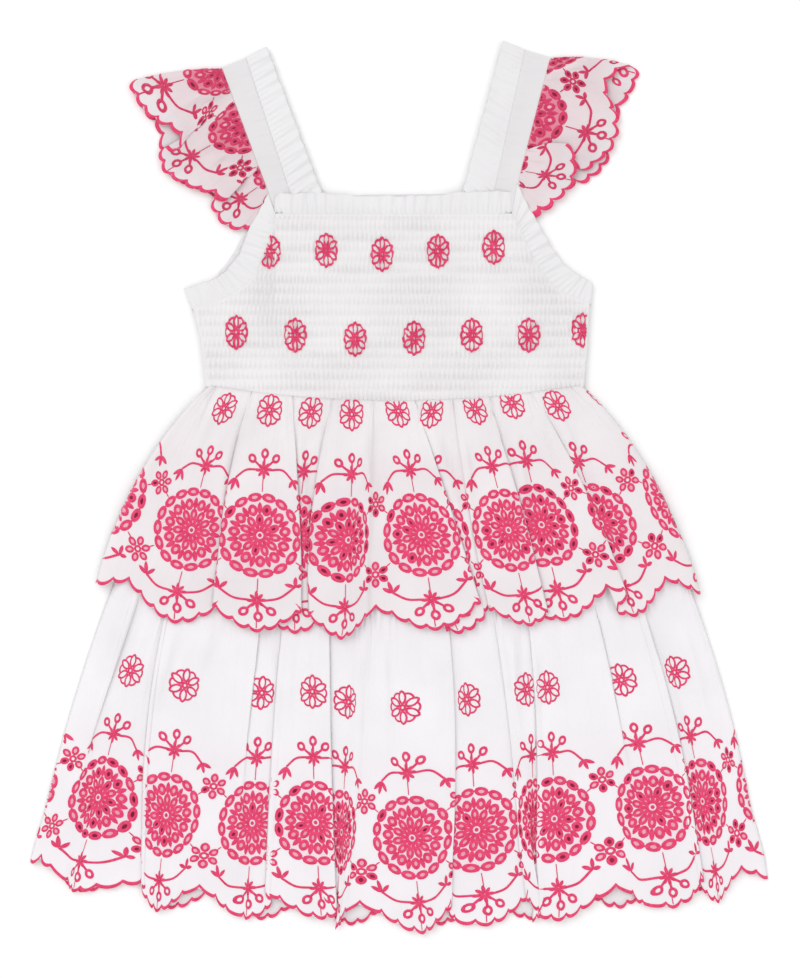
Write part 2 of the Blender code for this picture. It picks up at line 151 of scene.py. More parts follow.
def addObject(name, content):
    made = bpy.data.objects.new(name, content)
    bpy.context.collection.objects.link(made)
    return made


def newMaterial(name, colour, roughness, sheen):
    made = bpy.data.materials.new(name)
    made.use_nodes = True
    shader = made.node_tree.nodes["Principled BSDF"]
    shader.inputs["Base Color"].default_value = (*colour, 1)
    shader.inputs["Roughness"].default_value = roughness
    shader.inputs["Sheen Weight"].default_value = sheen
    shader.inputs["Sheen Roughness"].default_value = 0.5
    shader.inputs["Specular IOR Level"].default_value = 0.25
    return made


def addNode(material, kind, **values):
    made = material.node_tree.nodes.new("ShaderNode" + kind)
    for name, value in values.items():
        if name in made.inputs:
            made.inputs[name].default_value = value
        else:
            setattr(made, name, value)
    return made


def wire(material, start, output, end, entry):
    material.node_tree.links.new(start.outputs[output], end.inputs[entry])


# colour that varies softly over the cloth
def mottle(material, scale, shades, width):
    noise = addNode(material, "TexNoise", Scale=scale, Detail=3.0)
    ramp = addNode(material, "ValToRGB")
    ramp.color_ramp.elements[0].position = 0.5 - width
    ramp.color_ramp.elements[1].position = 0.5 + width
    for element, colour in zip(ramp.color_ramp.elements, shades):
        element.color = (*colour, 1)
    wire(material, addNode(material, "TexCoord"), "Object", noise, "Vector")
    wire(material, noise, 0, ramp, "Fac")
    wire(material, ramp, "Color", material.node_tree.nodes["Principled BSDF"], "Base Color")
    return ramp


# even bands on the cloth's own map, one to each gap
def bands(material, cloth, direction, gap, distortion):
    made = addNode(material, "TexWave", wave_type="BANDS", bands_direction=direction,
                Scale=math.pi / (10 * gap * mm), Distortion=distortion, Detail=1.0)
    wire(material, cloth, 0, made, "Vector")
    return made


def bump(material, heights, output, strength, depth):
    made = addNode(material, "Bump", Strength=strength, Distance=depth * mm)
    wire(material, heights, output, made, "Height")
    return made


weave = {"threadGap": 0.45, "strength": 0.25, "depth": 0.15, "patches": 28.0, "crumples": (190, 34, 1)}
satin = {"stitchGap": 0.42, "strength": 0.35, "depth": 0.12, "patches": 450.0}


# plain weave: two sets of threads over soft crumples; the haze attribute tints the cloth among the stitches
def wovenMaterial(name, shades, crumpled, tint):
    made = newMaterial(name, shades[0], 0.85, 0.25)
    shader = made.node_tree.nodes["Principled BSDF"]
    cloth = addNode(made, "UVMap", uv_map="cloth")
    plain = mottle(made, weave["patches"], shades, 0.25)
    threads = addNode(made, "Math", operation="MULTIPLY")
    for entry, direction in enumerate(("X", "Y")):
        across = bands(made, cloth, direction, weave["threadGap"], 0.6)
        across.inputs["Detail Scale"].default_value = 2.0
        wire(made, across, "Fac", threads, entry)
    relief = bump(made, threads, 0, weave["strength"], weave["depth"])
    longWays = addNode(made, "Mapping")
    longWays.inputs["Scale"].default_value = weave["crumples"]
    crumple = addNode(made, "TexNoise", Scale=1.0, Detail=3.0, Roughness=0.45)
    wire(made, cloth, 0, longWays, "Vector")
    wire(made, longWays, 0, crumple, "Vector")
    wire(made, bump(made, crumple, 0, 0.5, crumpled), "Normal", relief, "Normal")
    wire(made, relief, "Normal", shader, "Normal")
    mixed = addNode(made, "MixRGB", blend_type="MULTIPLY")
    mixed.inputs["Color2"].default_value = (*tint, 1)
    wire(made, plain, "Color", mixed, "Color1")
    wire(made, addNode(made, "Attribute", attribute_name="haze"), "Fac", mixed, "Fac")
    wire(made, mixed, "Color", shader, "Base Color")
    return made


# satin stitch: fine ridges across each band
def threadMaterial(name, shades):
    made = newMaterial(name, shades[0], 0.5, 0.3)
    mottle(made, satin["patches"], shades, 0.2)
    strands = bands(made, addNode(made, "UVMap", uv_map="cloth"), "X", satin["stitchGap"], 0.8)
    relief = bump(made, strands, "Fac", satin["strength"], satin["depth"])
    wire(made, relief, "Normal", made.node_tree.nodes["Principled BSDF"], "Normal")
    return made


paleTint, deepTint = (1.0, 0.86, 0.90), (0.97, 0.32, 0.43)
clothFinishes = {  # two shades, depth of the crumples, tint among the stitches
    "lawn": (((0.765, 0.755, 0.765), (0.81, 0.80, 0.81)), 1.1, paleTint),
    "band": (((0.70, 0.685, 0.695), (0.75, 0.735, 0.745)), 1.1, paleTint),
    "border": (((0.755, 0.715, 0.735), (0.83, 0.795, 0.81)), 1.7, paleTint),
    "skirt": (((0.81, 0.79, 0.815), (0.865, 0.845, 0.87)), 1.3, paleTint),
    # the sleeves' lawn is darker and greyer than the rest: painted soft shade of the thin ruffled cloth,
    # mottled at random
    "sleeve": (((0.66, 0.62, 0.635), (0.79, 0.75, 0.765)), 2.4, deepTint),
    "shirred": (((0.775, 0.755, 0.765), (0.825, 0.81, 0.815)), 1.1, paleTint),
    # the cloth and stitch edges seen through an eyelet, pale pink, with painted shade
    "opening": (((0.70, 0.28, 0.36), (0.80, 0.46, 0.53)), 1.1, paleTint),
    # painted shade: a near-black crimson fill for eyelets that open on to a fold or the back of a sleeve
    "paintedShadeOpening": (((0.12, 0.003, 0.018), (0.30, 0.012, 0.05)), 1.1, paleTint),
}
threadFinishes = {
    "thread": ((0.66, 0.026, 0.11), (0.82, 0.062, 0.185)),
    "deepThread": ((0.52, 0.018, 0.085), (0.70, 0.05, 0.15)),
}
finishes = {name: wovenMaterial(name, *values) for name, values in clothFinishes.items()}
finishes.update({name: threadMaterial(name, shades) for name, shades in threadFinishes.items()})
print("materials made")


# a thin wall of cloth on a grid of places; cloth holds where each lies on the flat cut
def clothFromGrid(name, spots, cloth, finish, haze=None, walled=True):
    rows, columns = spots.shape[:2]
    shape = bmesh.new()
    bmesh.ops.create_grid(shape, x_segments=columns - 1, y_segments=rows - 1, size=1)
    mesh = meshFrom(shape, name)
    flat = vertexPlaces(mesh)
    order = np.lexsort((np.round(flat[:, 0], 5), np.round(flat[:, 1], 5)))
    placed = np.empty_like(flat)
    placed[order] = spots.reshape(-1, 3) * mm
    mesh.vertices.foreach_set("co", placed.ravel())
    onCloth = np.empty((len(flat), 2))
    onCloth[order] = cloth.reshape(-1, 2) * mm
    corners = np.empty(len(mesh.loops), np.int32)
    mesh.loops.foreach_get("vertex_index", corners)
    mesh.uv_layers.new(name="cloth").data.foreach_set("uv", onCloth[corners].ravel())
    if haze is not None:
        stained = np.empty(len(flat))
        stained[order] = haze.ravel()
        mesh.attributes.new("haze", "FLOAT", "POINT").data.foreach_set("value", stained)
    mesh.shade_smooth()
    mesh.materials.append(finishes[finish])
    made = addObject(name, mesh)
    if walled:
        wall = made.modifiers.new("wall", "SOLIDIFY")
        wall.thickness = clothKind["thickness"] * mm
        wall.offset = -1
    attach(made, "root")
    return made


border = {"lobeDepth": 15.0, "scallops": 7, "scallopDepth": 2.9, "rosetteRise": 58.0}


# how far the hem rises from the round foot of each scallop (0) to the cusp between two (1), on an arc
def scallopDip(walked):
    off = np.abs(walked - np.floor(walked) - 0.5) * 1.88
    return (1 - np.sqrt(1 - off**2)) / 0.66


# how far the hem rises from the foot of each lobe (0) to the notch between two (1)
def lobe(cloth):
    across = np.abs(cloth - np.round(cloth)) * 2
    return 0.5 * across**1.7 + 0.25 * (1 - np.cos(math.pi * across))


# cloth from the top edge down to the scalloped hem
def cutLength(cloth, full):
    dip = scallopDip((cloth + 0.5) * border["scallops"])
    return full - border["lobeDepth"] * lobe(cloth) - border["scallopDepth"] * dip


tinted = {
    "rosette": (21, 6),  # radius, and how far beyond it the tint fades
    "sprigs": (0.15, 36, 20),  # share of the rosette's tint, reach up and down, and how far it fades
}


# tint of the cloth among the stitches: in a rosette 1, in its sprigs less
def pinkHaze(cloth, rise):
    x = (cloth - np.round(cloth)) * repeatWidth
    y = rise - border["rosetteRise"]
    radius, fade = tinted["rosette"]
    flower = 1 - smoothStep((np.hypot(x, y) - radius) / fade)
    share, reach, fade = tinted["sprigs"]
    return np.maximum(flower, share * (1 - smoothStep((np.abs(y) - reach) / fade)))


# x down a column, on the parabola through its three known places
def throughLevels(level, levels, xs):
    a, b = levels
    top = (level - a) * (level - b) / (a * b)
    middle = level * (level - b) / (a * (a - b))
    low = level * (level - a) / (b * (b - a))
    return top * xs[0] + middle * xs[1] + low * xs[2]


frontTier = {
    "cloth": (1.20, 10.90),
    "cut": 146.0,
    "motifRise": 133.2,
    "inPaintedShade": (4, 5, 9, 10),  # rosettes in a fold, whose eyelets get painted shade
    "belowWaist": 0.0,  # where the panel begins
    "rows": 60,
    "columnsPerRepeat": 40,
    "levels": (0.60, 1.0),  # share of the cut at which the table of places gives x
    "pleatRise": 2.2,
    "edgeRoll": (0.5, 5.0),  # how far a pleat's edge rolls down, and over what width
    "lower": (0.72, 0.28, 1.3),  # at which level it begins to sink, over what share of the cut, and how far
    "base": (3.4, 7.9, 0.10),  # height at the seam, height further down, and the level by which it is reached
    "sideHeight": (1.7, 1.7),  # at the seam and further down
    "drops": (
        (1.2, -2.5), (2, 0.3), (3, -2.7), (4, -3.8), (5, -3.7), (6, -6), (7, -5.2), (8, -5.6), (9, -7.6),
        (10, -2.4), (10.9, -1.4),
    ),
    "tops": (
        (1.2, -116.2), (2, -100.3), (3, -76.3), (4, -51), (5, -28.6), (6, -1.5), (7, 21.1), (8, 43.6),
        (9, 66.5), (10, 91.5), (10.9, 111.8),
    ),
    "topGather": 0.9,
    "shiftedFrom": (0.66, 0.26),  # level from which the shifts below begin, and over what share
    "hemShifts": (  # cloth in repeats, how far the sprigs by the hem lie aside of the rosette and lower
        (1.2, 0, 0), (2, -3.2, -2), (3, -1, 0), (4.5, 0, 0), (5, 3, 2), (5.6, 0.5, 0), (6, 0, 0),
        (8, 0.5, 1), (10, 1, 1.5), (10.9, 1.5, 1.5),
    ),
    "places": (  # cloth in repeats, x at the two levels, height in the pleat
        (1.20, -165, -184.5, 0.2), (2.31, -108, -111, 0), (2.45, -99.5, -102.5, 0.33),
        (2.59, -108, -111, 1), (2.85, -92, None, 0.95), (3.43, -57.5, -56, 1), (3.50, -61.7, -60.5, 0.62),
        (3.71, -75.5, -75, 0.45), (3.86, -68.3, -70.5, 0), (4.00, -60, -62, 0), (4.13, -54.9, -55.2, 0.1),
        (4.37, -40, -41, 0.33), (4.54, -50, -50, 0.5), (4.62, -54.8, -54.6, 1), (4.80, -43, None, 0.9),
        (5.00, -30, None, 0.6), (5.43, -18, -19.5, 1), (5.45, -17, -19, 0), (5.57, -9.5, None, 0.1),
        (5.90, 8.5, None, 0.8), (6.00, 14.5, None, 0.95), (6.43, 38, 56, 1), (6.50, 33.8, 51.8, 0.5),
        (6.865, 12, 30, 0.45), (7.30, 38.5, 56.5, 0), (7.45, 44.5, 57, 0.1), (7.51, 48, 61, 0.33),
        (7.57, 44.5, 57, 1), (7.80, 57, None, 0.95), (8.25, 79, 92.5, 1), (8.36, 72.4, 86, 0.6),
        (8.56, 60, 74, 0.4), (8.87, 79, 92.5, 0), (9.00, 87.3, None, 0.1), (9.36, 104.5, None, 0.5),
        (9.46, 109.5, None, 0.95), (9.67, 121, 141, 1), (9.83, 111.5, 131.5, 0.5), (10.00, 121.5, 141.5, 0),
        (10.43, 141.5, None, 0.2), (10.57, 150, None, 0.3), (10.90, 161, 181, 0.2),
    ),
    "creases": (  # height, width, how fast it fades at its start and end, and its line
        (-1.3, 3.5, 0.2, 0.7, ((-108, 40), (-114, 25), (-119, 16))),
        (1.5, 3.5, 0.2, 0.6, ((-96, 42), (-105, 9), (-107, -13), (-108, -38))),
        (-1.2, 3, 0.2, 0.6, ((-71, 42), (-72, 19), (-69, -1))),
        (1.3, 3, 0.2, 0.5, ((-60, 42), (-59, 14), (-56, -13), (-55, -83))),
        (-1.2, 3, 0.2, 0.6, ((-41, 42), (-44, 13), (-51, -4))),
        (1.3, 3.5, 0.2, 0.6, ((-21, 40), (-21, 19), (-15, -1), (-18, -19), (-19, -45))),
        (-1, 2.6, 0.2, 0.6, ((-8, 40), (-6, 9))),
        (1.6, 4, 0.2, 0.5, ((14, 40), (24, 22), (52, -71))),
        (1.4, 3.5, 0.2, 0.5, ((38, 38), (40, 14), (44, -32), (55, -71))),
        (1.4, 3.5, 0.2, 0.5, ((66, 40), (73, 13), (76, -19), (90, -57))),
        (-1, 2.6, 0.2, 0.6, ((78, 42), (85, 22))),
        (1.7, 4, 0.2, 0.4, ((90, 50), (101, 32), (109, -1), (123, -28), (137, -64))),
    ),
    "gathers": (0.17, 1.1, 0.34),  # cloth from one small gather below the seam to the next, height, length
    "hiddenGathers": None,
}

frontSkirt = {
    "cloth": (1.35, 12.75),
    "cut": 320.0,
    "motifRise": 136.5,
    "inPaintedShade": (2, 6, 9, 10, 12),
    "belowWaist": 15.5,
    "rows": 100,
    "columnsPerRepeat": 36,
    "levels": (0.58, 0.82),
    "pleatRise": 2.0,
    "edgeRoll": (0.6, 5.5),
    "lower": (0.46, 0.07, 1.25),
    "base": (3.4, 3.4, 0.46),
    "sideHeight": (1.9, 0.7),
    "drops": (
        (1.35, -1.8), (2, -3.8), (3, -1.6), (4, -3.8), (5, -7.1), (6, -1.7), (7, 1.3), (8, -1.8), (9, -4),
        (10, -5.5), (11, -1.5), (12, 0.9), (12.75, 1.4),
    ),
    "tops": ((1.35, -116.2), (12.75, 111.8)),
    "topGather": 0.0,
    "shiftedFrom": (0.84, 0.12),
    "hemShifts": (
        (1.35, -2, 0), (2, -3, 0), (3, -0.5, 0), (6.4, 0, 0.5), (7, 0.5, 0), (8, 3.4, 0), (9, 3, 1.5),
        (10, 3.6, 3), (11, 1.5, 3.8), (12, 2.2, 2.6), (12.75, 4, 1.5),
    ),
    "places": (
        (1.35, -189.5, -210.5, 0.2), (1.62, -171, -196, 1), (1.70, -175, -192.5, 0.5),
        (1.80, -171, -188, 0), (2.00, -163, -182, 0.2), (2.20, -153.5, -171.5, 0.2), (2.45, -149, -155, 0),
        (2.56, -145, -151, 0.33), (2.67, -149, -155, 0.8), (3.00, -129, -140, 0.7), (3.43, None, -120, 0.5),
        (3.57, None, -109, 0.5), (3.82, -87.5, -96.5, 0.7), (3.87, -90, -94.5, 0.4),
        (3.93, -87.5, -91.5, 0.1), (4.00, -82.5, -88.5, 0.1), (4.17, -75, -79.5, 0), (4.33, -68, -73, 0.33),
        (4.50, -75, -79.5, 0.8), (5.00, -52, -49.5, 0.8), (5.21, -40, -38, 1), (5.50, -49.5, -48, 0.5),
        (5.83, -40, -38, 0), (6.00, -30, -34.5, 0.15), (6.16, -26, -31.5, 0.4), (6.30, -22.5, -29, 0.9),
        (6.45, -19.5, -25.5, 0.5), (6.57, -16.5, -16, 0.3), (7.00, 2, 8, 0.5), (7.45, 34.5, 34, 1),
        (7.60, 29.5, 29, 0.5), (7.80, 34.5, 34, 0), (8.00, 41, 47, 0.1), (8.16, 49.5, None, 0.1),
        (8.40, 64, 71, 0), (8.48, 67.5, 74.5, 0.3), (8.55, 64, 71, 0.6), (8.84, 70, 79, 0.6),
        (9.00, 78, 80.5, 0), (9.08, 80.5, 82, 0), (9.45, 90, 91.5, 0.33), (9.80, 81, 82, 0.8),
        (10.00, 90, 93.5, 1), (10.25, 101.5, 107.5, 0.5), (10.43, None, 119, 0.8), (10.57, None, 131, 0.6),
        (10.80, 130, 141, 0.7), (10.85, 127.5, 144, 0.4), (10.92, 130, 148, 0.15), (11.00, 135, 153, 0.2),
        (11.16, 143.5, 163, 0.4), (11.42, 160, 176.5, 1), (11.60, 154, 171, 0.5), (11.80, 160, 176.5, 0),
        (12.00, 166, 182.5, 0.1), (12.16, 175, 188.5, 0.2), (12.43, 185.5, 197.5, 0.3),
        (12.75, 191, 210, 0.2),
    ),
    "creases": (
        (-1.2, 4.5, 0.3, 0.6, ((-152, -64), (-167, -104), (-179, -138))),
        (1.4, 4, 0.3, 0.6, ((-132, -76), (-149, -132), (-151, -158))),
        (1, 4, 0.3, 0.6, ((-112, -80), (-121, -117))),
        (-0.8, 3.5, 0.3, 0.6, ((-89, -84), (-91, -158))),
        (0.9, 3.5, 0.3, 0.6, ((-76, -84), (-78, -152))),
        (-0.8, 3.5, 0.3, 0.6, ((-61, -84), (-63, -164))),
        (1, 3, 0.3, 0.6, ((-23, -86), (-29, -171))),
        (0.9, 3.5, 0.3, 0.6, ((-9, -86), (-8, -176))),
        (-0.9, 4, 0.3, 0.6, ((12, -86), (19, -137))),
        (-0.9, 3, 0.3, 0.6, ((58, -76), (69, -143))),
        (1.2, 3, 0.3, 0.6, ((68, -80), (71, -156))),
        (1.3, 3.5, 0.3, 0.6, ((82, -80), (81, -147), (97, -200))),
        (-0.9, 3.5, 0.3, 0.6, ((94, -72), (106, -155))),
        (1, 3.5, 0.3, 0.6, ((126, -70), (136, -100))),
        (1.4, 4, 0.3, 0.4, ((147, -76), (156, -107), (163, -123), (169, -147), (178, -202))),
        (1.2, 4, 0.3, 0.5, ((164, -66), (177, -107), (184, -134), (199, -170))),
    ),
    "gathers": (0.2, 0.5, 0.62),
    "hiddenGathers": (7, 3.6, 0.04, 0.37),  # to a repeat, height, and the levels between which they lie
}
pleatKind = {
    "soften": 1.3,  # cloth over which a fold turns
    "begins": 0.2,  # level by which a pleat has its full height
    "rolled": (0.55, 0.25),  # height in the pleat from which its edge rolls down, and over which that grows
    "sideWidth": 5.0,  # the side edges come down over this width
    "sideLevel": 0.5,  # level by which they have their lower height
}


# fine gathers that run down from the seam, no two alike
def smallGathers(panel, cloth, level, fold, seed):
    gap, height, longest = panel["gathers"]
    draw = np.random.default_rng(seed)
    total = np.zeros_like(level)
    place = panel["cloth"][0] + gap / 2
    while place < panel["cloth"][1]:
        reach = longest * (0.25 + 0.75 * draw.random())
        lean = 0.12 * draw.standard_normal()
        width = gap * (0.20 + 0.12 * draw.random())
        tall = height * (0.5 + 0.6 * draw.random())
        off = (cloth - place - lean * level) / (width * (1 + 1.5 * level / longest))
        total += tall * np.exp(-(off**2)) * (1 - smoothStep(level / reach)) * smoothStep(level / 0.015)
        place += gap * (0.7 + 0.6 * draw.random())
    if panel["hiddenGathers"]:
        count, tall, start, end = panel["hiddenGathers"]
        wander = 0.25 * np.sin(cloth * 5.3) + 0.2 * np.sin(cloth * 8.9 + 1)
        rolls = tall * (1 - fold) * np.sin(math.pi * (count * cloth + wander)) ** 2
        total += rolls * smoothStep(level / start - 1) * (1 - smoothStep((level - end) / 0.09))
    return total


# 1 at the edge of each pleat, where the cloth turns back, and 0 a little way in
def edgeRoll(x, cloth, width):
    total = np.zeros_like(x)
    forward = np.diff(x, axis=1) > 0
    for row in range(len(x)):
        for k in np.flatnonzero(forward[row, :-1] != forward[row, 1:]) + 1:
            near = np.abs(cloth - cloth[k]) * repeatWidth < 2.4 * width
            away = (x[row] - x[row, k]) / width
            total[row] = np.maximum(total[row], near * np.exp(-(away**2)))
    return total


# what is needed to sew on a panel: its columns, the hem's lowest line, its hem, top and places in space
def sewable(cloth, low, full, below, spots):
    return {
        "cloth": cloth, "low": low, "full": full, "below": below, "spots": spots, "faceUp": 1,
        "fullAt": lambda at: cutLength(at, np.interp(at, cloth, low)),
    }


def clothMap(cloth, down):
    return np.stack([np.broadcast_to(cloth * repeatWidth, down.shape), down], axis=2)


# hangs a panel's columns from the waist by their length, so that cloth is neither stretched nor lost
def hang(panel, cloth, topX, middleX, lowX, rows, below, low):
    full = cutLength(cloth, low)
    down = below + np.linspace(0, 1, rows)[:, None] * (full - below)
    level = down / panel["cut"]
    x = throughLevels(level, panel["levels"], (topX, middleX, lowX))
    y = waistY(topX) - np.sqrt(np.maximum(down**2 - (x - topX) ** 2, 0))
    return full, down, level, x, y


# a gathered and pleated panel
def foldedPanel(panel, seed):
    first, last = panel["cloth"]
    cloth = np.linspace(first, last, round((last - first) * panel["columnsPerRepeat"]) + 1)
    low = panel["cut"] + readTable(panel["drops"], cloth)
    soften = pleatKind["soften"] / repeatWidth * panel["columnsPerRepeat"]
    middleX, lowX, fold = (blur(readTable(panel["places"], cloth, k), soften) for k in (1, 2, 3))
    gathered = cloth + panel["topGather"] / (2 * math.pi) * np.sin(2 * math.pi * cloth)
    topX = readTable(panel["tops"], np.clip(gathered, first, last))
    full, down, level, x, y = hang(panel, cloth, topX, middleX, lowX, panel["rows"], panel["belowWaist"], low)
    start, reach = panel["shiftedFrom"]
    shifted = smoothStep((level - start) / reach)
    x = x + shifted * readTable(panel["hemShifts"], cloth)
    y = y - shifted * readTable(panel["hemShifts"], cloth, 2)
    seam, over, by = panel["base"]
    start, reach, sink = panel["lower"]
    z = blend(seam, over, smoothStep(level / by)) - sink * smoothStep((level - start) / reach)
    sunk, width = panel["edgeRoll"]
    start, reach = pleatKind["rolled"]
    rolled = sunk * edgeRoll(x, cloth, width) * smoothStep((fold - start) / reach)
    z = z + (fold * panel["pleatRise"] - rolled) * smoothStep(level / pleatKind["begins"])
    z = z + creaseHeight(x, y, panel["creases"]) + smallGathers(panel, cloth[None, :], level, fold, seed)
    fromSide = np.minimum(cloth - first, last - cloth) * repeatWidth
    roll = np.sqrt(1 - (1 - np.clip(fromSide / pleatKind["sideWidth"], 0, 1)) ** 2)
    side = blend(*panel["sideHeight"], smoothStep(level / pleatKind["sideLevel"]))
    spots = np.stack([x, y, side + (z - side) * roll], axis=2)
    return sewable(cloth, low, full, panel["belowWaist"], spots), clothMap(cloth, down)


def facing(spots):
    return unit(np.cross(np.gradient(spots, axis=0), np.gradient(spots, axis=1)))


# places on a panel: cloth in repeats, rise above the lowest line of the hem, lift off the cloth
def onPanel(sewn, cloth, rise, lift):
    if "facing" not in sewn:
        sewn["facing"] = facing(sewn["spots"]) * sewn["faceUp"]
    rows, columns = sewn["spots"].shape[:2]
    first, last = sewn["cloth"][0], sewn["cloth"][-1]
    at = (cloth - first) / (last - first) * (columns - 1)
    down = np.interp(cloth, sewn["cloth"], sewn["low"]) - rise
    full = np.interp(cloth, sewn["cloth"], sewn["full"])
    row = (down - sewn["below"]) / (full - sewn["below"]) * (rows - 1)
    i = np.clip(np.floor(at).astype(int), 0, columns - 2)
    j = np.clip(np.floor(row).astype(int), 0, rows - 2)
    s = (at - i)[..., None]
    t = (row - j)[..., None]
    found = []
    for grid in (sewn["spots"], sewn["facing"]):
        upper = blend(grid[j, i], grid[j, i + 1], s)
        lower = blend(grid[j + 1, i], grid[j + 1, i + 1], s)
        found.append(blend(upper, lower, t))
    inside = (cloth > first) & (cloth < last) & (down > sewn["below"]) & (down < full + clothKind["pastHem"])
    return found[0] + found[1] * np.asarray(lift)[..., None], inside


# the embroidery is charted flat, in millimetres round the rosette's centre, with +y towards the waist
stitching = {
    "fullWidth": 0.6,  # width from which a band has its full height
    "lift": 0.13,  # off plain cloth
    "shirredLift": 0.32,
    "inFolds": 0.5,  # share of the eyelets that get a fill of painted shade, by where the rosette lies
    "onTop": 0.12,
    "onSleeve": 0.8,
    "inSleeve": 0.2,
}


def newChart():
    chart = bmesh.new()
    chart.loops.layers.uv.new("cloth")
    return chart


# a band of satin stitch along a path, domed across its width
def stitch(chart, path, widths, rise=0.3, across=2, kind=0):
    path = np.asarray(path, float)
    count = len(path)
    widths = np.broadcast_to(np.asarray(widths, float), count)
    if np.allclose(path[0], path[-1]):
        closed = np.vstack([path[-2], path, path[1]])
        heading = unit(closed[2:] - closed[:-2])
    else:
        heading = unit(np.gradient(path, axis=0))
    sideways = np.stack([-heading[:, 1], heading[:, 0]], axis=1)
    walked = walkAlong(path)
    made = bmesh.ops.create_grid(chart, x_segments=count - 1, y_segments=across, size=1)["verts"]
    uv = chart.loops.layers.uv["cloth"]
    faces = set()
    places = {}
    for k, vertex in enumerate(made):
        line, column = divmod(k, count)
        off = line / across - 0.5
        spot = path[column] + sideways[column] * widths[column] * off
        dome = rise * (1 - (2 * off) ** 2) * min(1.0, widths[column] / stitching["fullWidth"])
        vertex.co = (spot[0], spot[1], dome)
        places[vertex] = (walked[column] * mm, off * widths[column] * mm)
        faces.update(vertex.link_faces)
    for face in faces:
        face.material_index = kind
        face.smooth = True
        for corner in face.loops:
            corner[uv].uv = places[corner.vert]


# a solid leaf from near to far along a ray from the centre
def leaf(chart, centre, angle, near, far, width, rise=0.35, kind=0):
    t = np.linspace(0, 1, 7)
    reach = blend(near, far, t)
    path = np.stack([centre[0] + reach * math.cos(angle), centre[1] + reach * math.sin(angle)], axis=1)
    stitch(chart, path, blend(0.15, width, np.sin(math.pi * t) ** 0.6), rise, 2, kind)


# a pointed oval of stitches round an eyelet; outer and hole are lengths and widths
def almond(chart, x, y, angle, outer, hole, filled):
    turn = np.linspace(0, 2 * math.pi, 13)
    long, wide = (outer[0] + hole[0]) / 2, (outer[1] + hole[1]) / 2
    along = np.cos(turn) * long / 2
    out = np.sign(np.sin(turn)) * np.abs(np.sin(turn)) ** 1.25 * wide / 2
    c, s = math.cos(angle), math.sin(angle)
    path = np.stack([x + along * c - out * s, y + along * s + out * c], axis=1)
    stitch(chart, path, blend((outer[1] - hole[1]) / 2, (outer[0] - hole[0]) / 2, np.cos(turn) ** 2))
    # a filled eyelet gets a flat patch of the opening finish, painted with the cloth and shade seen through
    # it
    if filled:
        leaf(chart, (x, y), angle, -hole[0] / 2 - 0.2, hole[0] / 2 + 0.2, hole[1] + 0.3, 0.06, 1)


# one petal of a flower, turned to its ray
def petal(chart, x, y, angle, radius, outer, hole, turned=0, filled=True):
    x, y = x + radius * math.cos(angle), y + radius * math.sin(angle)
    almond(chart, x, y, angle + turned, outer, hole, filled)


def ring(chart, x, y, radius, band, count, rise=0.3, across=2):
    turn = np.linspace(0, 2 * math.pi, count + 1)
    path = np.stack([x + radius * np.cos(turn), y + radius * np.sin(turn)], axis=1)
    stitch(chart, path, band, rise, across)


def vine(chart, points, width):
    stitch(chart, smoothCurve(points, np.linspace(0, 1, 12)), width, 0.25)


starKind = {"reach": 5.7, "shorter": 0.9, "turned": 0.1, "leafFrom": 0.9, "leafWidth": 2.0}
starEye = (1.15, 1.2, 8, 0.4)


# eight leaves round an eye, every other one a little shorter
def star(chart, x, y):
    for k in range(8):
        reach = starKind["reach"] * starKind["shorter"] if k % 2 else starKind["reach"]
        angle = k * math.pi / 4 + starKind["turned"]
        leaf(chart, (x, y), angle, starKind["leafFrom"], reach, starKind["leafWidth"])
    ring(chart, x, y, *starEye)


loopKind = {"outer": (6.6, 5.4), "hole": (3.0, 2.2), "stalkWidth": 1.4, "stalkShort": 2.2}


# a round loop on its stalk
def loop(chart, x, y, fromX, fromY):
    angle = math.atan2(y - fromY, x - fromX)
    almond(chart, x, y, angle, loopKind["outer"], loopKind["hole"], False)
    reach = math.hypot(x - fromX, y - fromY) - loopKind["stalkShort"]
    t = np.linspace(0, 1, 4)
    end = (fromX + reach * math.cos(angle), fromY + reach * math.sin(angle))
    stalk = np.stack([blend(fromX, end[0], t), blend(fromY, end[1], t)], axis=1)
    stitch(chart, stalk, loopKind["stalkWidth"], 0.25)


